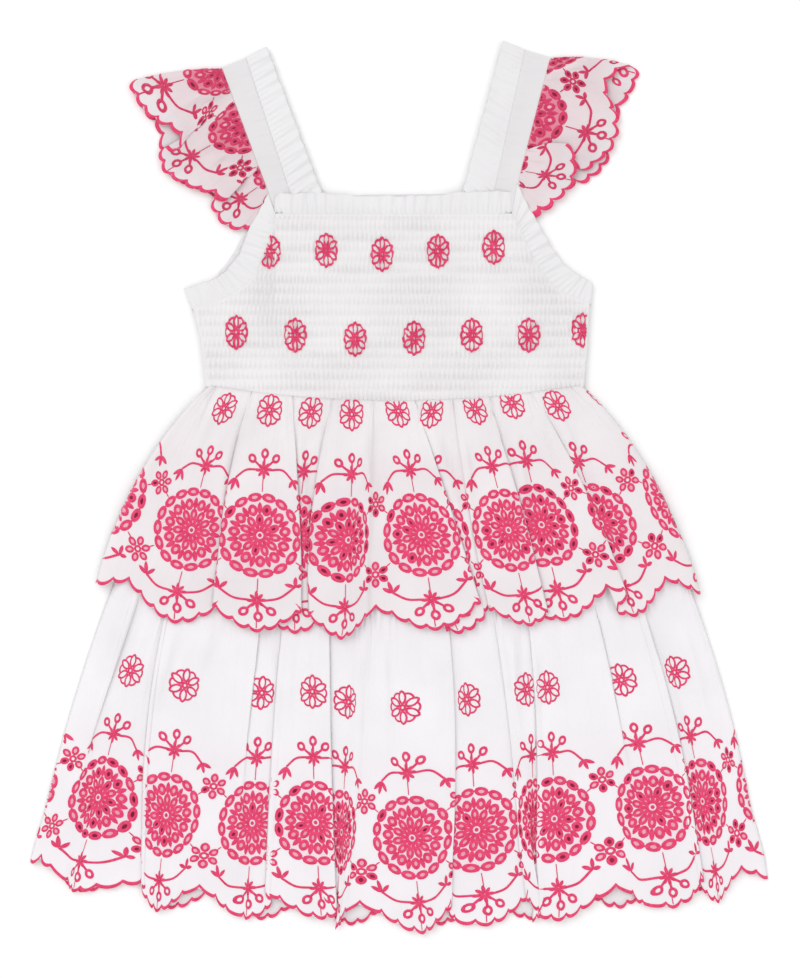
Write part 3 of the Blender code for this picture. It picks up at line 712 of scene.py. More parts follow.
# rings are radius, band, steps and height; leaves are from, to and width; petals are radius, outer and hole
rosette = {
    "petals": 11,
    "start": math.radians(93),
    "eye": (0.6, 1.3, 8, 0.4),
    "heart": (3.0, 7.2, 2.5),
    "inner": (9.3, (7.6, 4.9), (2.8, 1.5)),
    "outer": (15.5, (7.4, 6.2), (2.7, 2.2)),
    "darts": (12.4, 19.9, 3.0),
    "collar": (3.2, 2.1, 24, 0.25),
    "cord": (22.9, 0.9, 48, 0.15, 1),  # flat, beneath the beads
    "beads": 16,
    "bead": (22.9, (9.2, 5.4), (3.8, 2.0)),
    "stems": (((0, 26), (0, 34.5)), ((0, -26), (0, -34.5)), ((0, -51), (0, -55.5))),
    "stemWidth": 0.6,
}
sprigs = (  # star, loops, vines, leaves as (x, y, from which x, y)
    {
        "star": (0, 39.2),
        "loops": ((0, 48.9), (-8.4, 45.7), (7.8, 46.3)),
        "vines": (((-4, 39.2), (-12, 38.5), (-18.5, 33.5)), ((4, 39.2), (13, 39.5), (20.5, 33.5))),
        "leaves": (
            (-22.8, 29.4, -18.5, 33.5), (-20.2, 27.0, -18.5, 33.5), (-16.0, 28.6, -18.5, 33.5),
            (18.6, 30.6, 20.5, 33.8), (22.6, 29.2, 20.5, 33.8), (25.8, 31.8, 20.5, 33.8),
        ),
    },
    {
        "star": (0, -38.9),
        "loops": ((-7, -45.9), (1, -48.6), (8.1, -45)),
        "vines": (((-4, -38.9), (-13, -38.0), (-20.8, -33.2)), ((4, -38.9), (13, -36.5), (21.4, -29.6))),
        "leaves": (
            (-25.0, -30.8, -20.8, -33.4), (-22.8, -27.6, -20.8, -33.4), (-17.8, -30.0, -20.8, -33.4),
            (17.0, -28.8, 21.2, -30.0), (21.3, -25.7, 21.2, -30.0), (23.8, -29.4, 21.2, -30.0),
        ),
    },
)
sprigKind = {"vineWidth": 1.35, "leafFrom": 0.2, "leafPast": 1.7, "leafWidth": 2.3}
daisy = {
    "centres": ((30.0, 20.5), (30.0, -21.5)),
    "eye": (1.6, 1.3, 10),
    "petal": (5, (5.7, 4.3), (2.6, 1.7)),
    "dart": (7.0, 10.8, 0.8, 0.15),
}


def chartRosette(chart):
    step = 2 * math.pi / rosette["petals"]
    ring(chart, 0, 0, *rosette["eye"])
    for k in range(rosette["petals"]):
        angle = rosette["start"] + k * step
        leaf(chart, (0, 0), angle + step / 2, *rosette["heart"])
        petal(chart, 0, 0, angle, *rosette["inner"])
        petal(chart, 0, 0, angle + step / 2, *rosette["outer"])
        leaf(chart, (0, 0), angle, *rosette["darts"])
    ring(chart, 0, 0, *rosette["collar"])
    ring(chart, 0, 0, *rosette["cord"])
    for k in range(rosette["beads"]):
        angle = 2 * math.pi * (k + 0.5) / rosette["beads"]
        petal(chart, 0, 0, angle, *rosette["bead"], turned=math.pi / 2)


def chartSprig(chart, sprig):
    x, y = sprig["star"]
    star(chart, x, y)
    for loopX, loopY in sprig["loops"]:
        loop(chart, loopX, loopY, x, y)
    for points in sprig["vines"]:
        vine(chart, points, sprigKind["vineWidth"])
    for leafX, leafY, fromX, fromY in sprig["leaves"]:
        reach = math.hypot(leafX - fromX, leafY - fromY) + sprigKind["leafPast"]
        angle = math.atan2(leafY - fromY, leafX - fromX)
        leaf(chart, (fromX, fromY), angle, sprigKind["leafFrom"], reach, sprigKind["leafWidth"])


# a small flower between two rosettes, with a dart from it towards each
def chartDaisy(chart, x, y):
    ring(chart, x, y, *daisy["eye"])
    for k in range(6):
        petal(chart, x, y, math.pi * (k / 3 + 1 / 6), *daisy["petal"])
    for centre in ((x, y), (x - repeatWidth, y)):
        leaf(chart, centre, math.atan2(-centre[1], -centre[0]), *daisy["dart"])


# one repeat of the border: the rosette, a sprig above and below it, and what lies between two
def borderChart():
    chart = newChart()
    chartRosette(chart)
    for sprig in sprigs:
        chartSprig(chart, sprig)
    for x, y in daisy["centres"]:
        chartDaisy(chart, x, y)
    for points in rosette["stems"]:
        vine(chart, points, rosette["stemWidth"])
    return meshFrom(chart, "borderChart")


motif = {
    "eye": (1.5, 1.4),  # radius and band
    "petal": (6.1, (8.9, 5.1)),  # radius, then length and width over the stitches
    "bands": (2.9, 2.2),  # how much shorter and narrower the eyelet is
    "lace": (8.3, 0.9, 1.2),  # least radius, how far it bows out, and its band
    "laceTurn": 0.35,
}


# a six-petalled flower with a short arc of lace between each two petals; weight is the width of its bands
def motifChart(name, weight):
    chart = newChart()
    radius, band = motif["eye"]
    ring(chart, 0, 0, radius, band * weight, 12, 0.35)
    radius, outer = motif["petal"]
    hole = (outer[0] - motif["bands"][0] * weight, outer[1] - motif["bands"][1] * weight)
    least, bow, band = motif["lace"]
    t = np.linspace(-motif["laceTurn"], motif["laceTurn"], 7)
    reach = least + bow * np.cos(t * math.pi / (2 * motif["laceTurn"]))
    for k in range(6):
        angle = math.pi * (k / 3 + 1 / 6)
        petal(chart, 0, 0, angle, radius, outer, hole, filled=False)
        turn = angle + math.pi / 6 + t
        stitch(chart, np.stack([reach * np.cos(turn), reach * np.sin(turn)], axis=1), band * weight, 0.25)
    return meshFrom(chart, name)


borderMesh = borderChart()
motifMesh, closeMotifMesh = motifChart("motifChart", 1.0), motifChart("closeMotifChart", 1.22)
print("embroidery charted", len(borderMesh.polygons), len(motifMesh.polygons))


# copies of the charts in one mesh, with their flat places
def joinCharts(name, charts):
    joined = bmesh.new()
    for chart in charts:
        joined.from_mesh(chart)
    mesh = meshFrom(joined, name)
    return mesh, vertexPlaces(mesh)


# lays stitches on their places and trims away what lies past the cloth
def layStitches(name, mesh, spots, kept, threads, turned):
    mesh.vertices.foreach_set("co", (spots * mm).ravel())
    trimmed = bmesh.new()
    trimmed.from_mesh(mesh)
    outside = [vertex for vertex, stays in zip(trimmed.verts, kept) if not stays]
    bmesh.ops.delete(trimmed, geom=outside, context="VERTS")
    if turned:
        bmesh.ops.reverse_faces(trimmed, faces=trimmed.faces)
    trimmed.to_mesh(mesh)
    trimmed.free()
    for finish in threads:
        mesh.materials.append(finishes[finish])
    made = addObject(name, mesh)
    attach(made, "root")
    return made


# sews charts on a panel; placings hold the chart, cloth, rise and share of eyelets that get painted shade
def sewOn(name, sewn, placings, inside=False, thread="thread"):
    draw = np.random.default_rng(len(placings))
    mesh, flat = joinCharts(name, [placing[0] for placing in placings])
    kinds = np.empty(len(mesh.polygons), np.int32)
    mesh.polygons.foreach_get("material_index", kinds)
    cloth = np.empty(len(flat))
    rise = np.empty(len(flat))
    done = faces = 0
    for chart, centre, centreRise, inPaintedShade in placings:
        part = slice(done, done + len(chart.vertices))
        cloth[part] = centre + flat[part, 0] / repeatWidth
        rise[part] = centreRise + flat[part, 1]
        done = part.stop
        eyelets = faces + np.flatnonzero(kinds[faces:faces + len(chart.polygons)]).reshape(-1, 12)
        # the drawn eyelets get the fill of painted shade
        kinds[eyelets[draw.random(len(eyelets)) < inPaintedShade]] = 2
        faces += len(chart.polygons)
    mesh.polygons.foreach_set("material_index", kinds)
    lift = flat[:, 2] + stitching["lift"]
    spots, kept = onPanel(sewn, cloth, rise, -lift - clothKind["thickness"] if inside else lift)
    turned = inside != (sewn["faceUp"] < 0)
    return layStitches(name, mesh, spots, kept, (thread, "opening", "paintedShadeOpening"), turned)


hem = {
    "width": 2.0,
    "stepsPerScallop": 10,
    "fromEnds": 0.003,  # repeats left free at both ends
    "longer": 1.15,  # the scalloped edge against its cloth
    "section": (  # share of the width in from the hem, and height over the cloth, round the wrapped edge
        (1, -0.02), (0.75, 0.25), (0.35, 0.3), (0, 0.1), (-0.125, -0.15), (0, -0.45), (0.5, -0.6), (1, -0.36),
    ),
}


# the satin edge, wrapped round the scalloped hem
def hemEdge(name, sewn):
    first, last = sewn["cloth"][0], sewn["cloth"][-1]
    count = int((last - first) * border["scallops"] * hem["stepsPerScallop"])
    cloth = np.linspace(first + hem["fromEnds"], last - hem["fromEnds"], count)
    rise = np.interp(cloth, sewn["cloth"], sewn["low"]) - sewn["fullAt"](cloth)
    rows = np.array([
        onPanel(sewn, cloth, rise + share * hem["width"], np.full(count, lift))[0]
        for share, lift in hem["section"]
    ])
    walked = np.stack(np.meshgrid(cloth * repeatWidth * hem["longer"], np.arange(len(rows))), axis=2)
    if sewn["faceUp"] < 0:
        rows, walked = rows[::-1], walked[::-1]
    made = clothFromGrid(name, rows, walked, "thread", walled=False)
    return made


def wholeRepeats(sewn):
    return range(math.floor(sewn["cloth"][0]), math.ceil(sewn["cloth"][-1]) + 1)


# placings of rosettes, with the share of their eyelets that get painted shade
def rosettesAt(repeats, inPaintedShade):
    return [(borderMesh, k, border["rosetteRise"], inPaintedShade) for k in repeats]


def makeFrontPanel(name, node, panel, finish, seed):
    sewn, onCloth = foldedPanel(panel, seed)
    haze = pinkHaze(sewn["cloth"][None, :], sewn["low"][None, :] - onCloth[..., 1])
    cloth = clothFromGrid(name, sewn["spots"][::-1], onCloth[::-1], finish, haze[::-1])
    placings = []
    # rosettes in a fold get more eyelets of painted shade
    for k in wholeRepeats(sewn):
        placings += rosettesAt([k], stitching["inFolds" if k in panel["inPaintedShade"] else "onTop"])
    placings += [(motifMesh, k, panel["motifRise"], 0) for k in wholeRepeats(sewn)]
    sewnOn = [sewOn(name + "Embroidery", sewn, placings), hemEdge(name + "Edge", sewn)]
    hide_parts(node)
    print(name, "made")


makeFrontPanel("frontSkirtCloth", "front_skirt", frontSkirt, "skirt", 3)
makeFrontPanel("frontTierCloth", "front_tier", frontTier, "border", 5)


# shirred with rows of elastic, cut along the armholes
bodice = {
    "sides": (  # y and x of the left and the right side seam
        ((56.0, -115.5), (88.2, -119.2), (107.5, -123.8)), ((56.0, 111.0), (88.2, 113.6), (110.5, 114.8)),
    ),
    "topY": 164.5,
    "belowWaist": 1.5,
    "elasticGap": 6.4,
    "cutOff": 0.35,  # share of the first puff that the top edge cuts off
    "gatherGap": 2.75,
    "gatherUneven": 0.05,
    "puff": 1.7,
    "puffReach": 0.62,  # from a puff's middle, as a share of the gap
    "pull": 0.22,  # how far the elastic draws the cloth in
    "flatEdge": 2.5,
    "fullness": 1.7,
    "front": {"z": 3.1, "columns": 372, "rows": 110, "strength": 1.0, "seed": 11},
    "back": {"z": 1.2, "columns": 310, "rows": 76, "strength": 0.97, "seed": 12},
    "squeeze": (0.70, 1.03),
    "zigzag": (0.3, 2.4),  # how far gathers shift the stitches sideways, and the change from row to row
    "trim": (0.5, 0.8),  # how far the stitches stay inside the armholes and the right side
    "motifs": (
        (-77.8, 141.7), (-43.6, 142.3), (-10.0, 139.9), (23.6, 141.7), (57.1, 144.1), (-97.6, 93.1),
        (-62.2, 91.3), (-26.2, 88.9), (9.2, 89.5), (43.9, 91.3), (78.1, 91.3), (110.5, 94.3),
    ),
}
armholes = {  # x and y of the seam and of the frill's free edge, from the strap down to the side
    "left": (
        (-74.2, 164.5, -78.2, 176.4), (-77.2, 153.1, -88.7, 157.8), (-82.8, 137.2, -95.0, 142.5),
        (-89.2, 124.7, -100.7, 133.8), (-104.2, 114.2, -110.8, 125.2), (-123.8, 107.5, -128.2, 119.5),
    ),
    "right": (
        (68.0, 164.5, 71.2, 182.0), (74.2, 152.7, 83.2, 159.7), (79.8, 140.2, 90.8, 146.7),
        (86.2, 129.2, 98.2, 135.7), (96.2, 118.7, 107.8, 128.0), (114.8, 110.5, 116.0, 123.1),
    ),
}


# an armhole's seam and its frill's free edge, at t from the strap (0) to the side (1)
def armholeEdges(side, t):
    return [smoothCurve([row[k:k + 2] for row in armholes[side]], t) for k in (0, 2)]


# x and y of both armholes' seams as one curve, from the left side to the right
def armholeCurve():
    t = np.linspace(0, 1, 60)
    return np.vstack([armholeEdges("left", t)[0][::-1], armholeEdges("right", t)[0]]).T


def sideX(y):
    return [np.interp(y, *zip(*side)) for side in bodice["sides"]]


# x and y of a panel whose columns run up from the waist to the armholes and the neck
def bodicePlaces(columns, rows):
    across = np.linspace(0, 1, columns)
    curve = armholeCurve()
    top = np.full(columns, bodice["topY"])
    for _ in range(12):
        top = 0.5 * top + 0.5 * np.interp(blend(*sideX(top), across), *curve)
    bottom = waistY(blend(waist["left"], waist["right"], across)) - bodice["belowWaist"]
    y = blend(bottom, top, np.linspace(0, 1, rows)[:, None])
    return blend(*sideX(y), across), y


# puffs between the rows of elastic, with their gathers shifted from row to row
def shirring(x, y, seed):
    draw = np.random.default_rng(seed)
    row = (bodice["topY"] - y) / bodice["elasticGap"] + bodice["cutOff"]
    reach = bodice["puffReach"]
    total = np.zeros_like(x)
    for k in range(-1, 20):
        off = row - k - 0.5
        shape = np.where(np.abs(off) < reach, np.cos(np.clip(off / reach, -1, 1) * math.pi / 2), 0)
        gap = bodice["gatherGap"] * (1 + bodice["gatherUneven"] * draw.standard_normal())
        phase = draw.random() * 2 * math.pi
        wander = sum(
            draw.random() * 1.1 * np.sin(x / length + draw.random() * 7) for length in (5.1, 9.7, 17.0, 31.0)
        )
        wave = np.sin(2 * math.pi * x / gap + phase + wander)
        strength = 0.75 + 0.25 * np.sin(x / 13.0 + draw.random() * 7)
        total += shape * strength * (0.5 + 0.5 * wave)
    return bodice["puff"] * (total - 0.25) - bodice["pull"] * np.cos(2 * math.pi * row)


# flowers on the shirring, trimmed by the armholes and the right side
def sewOnShirring(name, kind):
    motifs = bodice["motifs"]
    mesh, flat = joinCharts(name, [closeMotifMesh] * len(motifs))
    centre = np.repeat(np.array(motifs, float), len(closeMotifMesh.vertices), axis=0)
    x = centre[:, 0] + flat[:, 0] * bodice["squeeze"][0]
    y = centre[:, 1] + flat[:, 1] * bodice["squeeze"][1]
    shift, change = bodice["zigzag"]
    row = np.floor(y / bodice["elasticGap"])
    x = x + shift * np.sin(2 * math.pi * x / bodice["gatherGap"] + row * change)
    z = kind["z"] + kind["strength"] * shirring(x, y, kind["seed"]) + flat[:, 2] + stitching["shirredLift"]
    fromTop, fromSide = bodice["trim"]
    kept = (y < np.interp(x, *armholeCurve()) - fromTop) & (x < sideX(y)[1] - fromSide)
    return layStitches(name, mesh, np.stack([x, y, z], axis=1), kept, ("thread", "opening"), False)


def makeBodice(name, node, kind, withMotifs):
    x, y = bodicePlaces(kind["columns"], kind["rows"])
    fromEdge = np.minimum(np.minimum(x - x[:, :1], x[:, -1:] - x), np.minimum(y - y[:1], y[-1:] - y))
    clear = smoothStep(fromEdge / bodice["flatEdge"])
    strength = kind["strength"]
    height = kind["z"] + strength * shirring(x, y, kind["seed"]) * clear - 0.1 * strength * (1 - clear)
    spots = np.stack([x, y, height], axis=2)
    onCloth = np.stack([x * bodice["fullness"], y], axis=2)
    cloth = clothFromGrid(name, spots, onCloth, "shirred")
    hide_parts(node)
    extras = [sewOnShirring(name + "Embroidery", kind)] if withMotifs else []
    print(name, "made")


makeBodice("frontBodiceCloth", "front_bodice", bodice["front"], True)
makeBodice("backBodiceCloth", "back_bodice", bodice["back"], False)


straps = {
    "under": (2.6, 0.3),  # how far the band reaches under the sleeve and the frill
    "band": {"columns": 110, "frontZ": 2.3, "backStop": 0.98},
    "frill": {"columns": 220, "frontZ": 2.9, "backStop": 0.96},
    # plain band's outer edge, frill's seam and frill's free edge: at the bodice, then at the shoulder
    "left": ((-73.5, 165.2, -61.6, 165.2, -46.0, 176.8), (-104.2, 252.7, -91.7, 257.5, -79.0, 264.1)),
    "right": ((67.2, 165.2, 54.8, 165.2, 38.5, 178.3), (90.8, 258.1, 75.8, 262.3, 62.5, 267.7)),
}
frills = {
    "frontZ": 2.9,
    "backZ": 0.6,
    "wave": 0.75,
    "waveLength": 7.4,
    "seamGather": 3.1,
    "seamHeight": 0.3,
    "seamSpread": 2.2,  # one over the share of the width in which a frill rises from its seam
}
gatheredStrip = {
    "rows": 15,
    "fullness": 1.6,
    "held": "gathered",
    "flip": False,  # turns the cloth over
    "rise": 0,  # how far the seam lies lower than the rest
    "ripple": 0,  # how far the free edge goes in and out
    "puckers": 0,
}


# places of a fold from the front layer to the back one
def roundTurn(start, frontZ, outward):
    turn = (frontZ - frills["backZ"]) / 2
    middle = (frontZ + frills["backZ"]) / 2
    angles = np.linspace(0, math.pi, 8)[1:-1]
    return [(start + outward * turn * math.sin(a), middle + turn * math.cos(a)) for a in angles]


# waves of a frill: fine gathers at its seam that open into a few soft waves at its edge
def ruffle(walked, share, seed):
    draw = np.random.default_rng(seed)
    wander = sum(
        0.8 * draw.random() * np.sin(walked / length + 7 * draw.random()) for length in (4.3, 8.9, 19.0)
    )
    slow = np.sin(2 * math.pi * walked / frills["waveLength"] + wander)
    uneven = 0.65 + 0.35 * np.sin(walked / 11.0 + 7 * draw.random())
    fine = np.sin(2 * math.pi * walked / frills["seamGather"] + 1.7 * wander)
    atSeam = frills["seamHeight"] * fine * (1 - share) * smoothStep(share * 8)
    return frills["wave"] * uneven * slow * share**0.8 + atSeam


# small puckers along a band, near its free edge, over a soft roll
def pucker(walked, share, height):
    near = smoothStep((share - 0.3) / 0.45) * (1 - smoothStep((share - 0.85) / 0.13))
    lengths = (3.1, 4.7, 7.3)
    along = sum(np.sin(2 * math.pi * walked / length + length) for length in lengths) / len(lengths)
    roll = 0.25 * np.sin(math.pi * share * 1.2 + walked[None, :] / 23.0)
    return 2 * height * near * along[None, :] + roll * np.sin(math.pi * share)


# a strip between two curves, front to back; z holds the height along it
def stripPiece(name, node, inner, outer, z, finish, settings):
    rows = settings["rows"]
    share = np.linspace(0, 1, rows)[:, None]
    walked = walkAlong(inner + outer) / 2
    spots = np.empty((rows, len(inner), 3))
    spots[..., :2] = blend(inner[None], outer[None], share[..., None])
    waves = ruffle(walked[None, :], share, settings["seed"]) * settings["waves"][None, :]
    onFront = np.clip((z - frills["backZ"]) / (frills["frontZ"] - frills["backZ"]), 0, 1)
    sink = (settings["rise"] * onFront)[None, :] * (1 - smoothStep(share * frills["seamSpread"]))
    spots[..., 2] = z[None, :] - sink + waves
    if settings["puckers"]:
        spots[..., 2] += pucker(walked, share, settings["puckers"]) * onFront
    ripple = (0.5 * np.sin(walked / 2.1) + 0.5 * np.sin(walked / 3.4 + 1)) * settings["ripple"]
    spots[..., :2] += unit(outer - inner)[None] * ripple[None, :, None] * share[..., None] ** 2
    width = np.linalg.norm(outer - inner, axis=1)
    along = np.broadcast_to(walked, (rows, len(inner))) * settings["fullness"]
    onCloth = np.stack([along, share * width], axis=2)
    if settings["flip"]:
        spots, onCloth = spots[:, ::-1], onCloth[:, ::-1]
    made = clothFromGrid(name, spots, onCloth, finish)
    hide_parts(node)


# one edge of a strap's strip: up the front, over the shoulder and down the back
def overShoulder(low, high, start, kind):
    foot, head = np.array(low[start:start + 2]), np.array(high[start:start + 2])
    outward = (head - foot) / np.linalg.norm(head - foot)
    steps = kind["columns"]
    places = [(blend(foot, head, t), kind["frontZ"]) for t in np.linspace(0, 1, steps)]
    places += roundTurn(head, kind["frontZ"], outward)
    places += [(blend(head, foot, t), frills["backZ"]) for t in np.linspace(0, kind["backStop"], steps // 3)]
    return np.array([spot for spot, _ in places]), np.array([z for _, z in places])


def makeStraps():
    for side, flip, shift, seed in (("left", True, -0.3, 22), ("right", False, 0.3, 21)):
        low, high = straps[side]
        outer, z = overShoulder(low, high, 0, straps["band"])
        inner, _ = overShoulder(low, high, 2, straps["band"])
        across = unit(inner - outer)
        outer, inner = outer - across * straps["under"][0], inner + across * straps["under"][1]
        plain = {"rows": 14, "fullness": 1.0, "held": "laid", "puckers": 0.17, "flip": flip}
        settings = {**gatheredStrip, **plain, "seed": 1, "waves": np.zeros(len(z))}
        stripPiece(side + "StrapCloth", side + "_strap", outer, inner, z, "band", settings)
        seam, z = overShoulder(low, high, 2, straps["frill"])
        edge, _ = overShoulder(low, high, 4, straps["frill"])
        seam[:, 0] += shift
        waves = np.where(z > 2.5, 1.0, 0.15)
        settings = {**gatheredStrip, "seed": seed, "waves": waves, "flip": flip, "ripple": 0.25, "rise": 0.66}
        name, node = side + "StrapFrillCloth", side + "_strap_frill"
        stripPiece(name, node, seam, edge, z, "lawn", settings)
    print("straps made")


neckFrill = {
    "belowTop": 1.2,  # how far the seam lies below the bodice's top edge
    "ends": (0.95, 9),  # how much lower its ends lie, and over what length
    "ripple": 0.5,
    "rise": 0.85,
}
neckFrills = {  # ends of the seam, corners of the free edge; strength 0 is a flat frill
    "front": {
        "seam": (-74.6, 68.4),
        "edge": (
            (-74.8, 172.5), (-73.6, 174.8), (-71.5, 176.6), (-45.0, 176.8), (-22.0, 174.9), (20.0, 175.2),
            (39.0, 177.6), (69.5, 178.0),
        ),
        "z": 3.65, "columns": 360, "strength": 1.0, "cut": 0.182,
    },
    "back": {
        "seam": (-60.6, 53.8), "edge": ((-60.6, 175.6), (53.8, 177.0)),
        "z": 0.6, "columns": 120, "strength": 0.0, "cut": 0.130,
    },
}


def makeNeckFrills():
    for side, frill in neckFrills.items():
        columns, strength = frill["columns"], frill["strength"]
        x = np.linspace(*frill["seam"], columns)
        edgeX = np.linspace(frill["edge"][0][0], frill["edge"][-1][0], columns)
        seam = np.stack([x, np.full(columns, bodice["topY"] - neckFrill["belowTop"] * strength)], axis=1)
        edge = np.stack([edgeX, readTable(frill["edge"], edgeX)], axis=1)
        fromEnd = np.minimum(x - x[0], x[-1] - x)
        lower, length = neckFrill["ends"]
        height = frill["z"] - lower * strength * (1 - smoothStep(fromEnd / length))
        settings = {**gatheredStrip, "seed": 31, "waves": np.full(columns, strength)}
        settings.update(ripple=neckFrill["ripple"] * strength, rise=neckFrill["rise"] * strength)
        name = side + "NeckFrillCloth"
        stripPiece(name, side + "_neck_frill", seam, edge, height, "lawn", settings)
    print("neck frills made")


armholeFrill = {"columns": 200, "backColumns": 60, "inward": 0.5, "waves": (1.35, 0.1), "ripple": 0.4}


def makeArmholeFrills():
    for side, backOut, flip, seed in (("left", 3.0, True, 41), ("right", 0.0, False, 42)):
        seam, edge = armholeEdges(side, np.linspace(0, 1, armholeFrill["columns"]))
        seam = seam - armholeFrill["inward"] * unit(edge - seam)
        outward = seam[-1] - seam[-4]
        turned = roundTurn(np.zeros(2), frills["frontZ"], outward / np.linalg.norm(outward))
        back = np.linspace(1, 0, armholeFrill["backColumns"])
        seamBack, edgeBack = armholeEdges(side, back)
        edgeBack = edgeBack + unit(edgeBack - seamBack) * (backOut * np.sin(math.pi * back) ** 2)[:, None]
        seam = np.vstack([seam] + [[seam[-1] + spot] for spot, _ in turned] + [seamBack])
        edge = np.vstack([edge] + [[edge[-1] + spot] for spot, _ in turned] + [edgeBack])
        z = np.concatenate([
            np.full(armholeFrill["columns"], frills["frontZ"]), [height for _, height in turned],
            np.full(len(back), frills["backZ"]),
        ])
        waves = np.where(z > 2.7, *armholeFrill["waves"])
        settings = {**gatheredStrip, "rows": 17, "seed": seed, "waves": waves, "flip": flip}
        settings["ripple"] = armholeFrill["ripple"]
        name, node = side + "ArmholeFrillCloth", side + "_armhole_frill"
        stripPiece(name, node, seam, edge, z, "lawn", settings)
    print("armhole frills made")


makeStraps()
makeNeckFrills()
makeArmholeFrills()


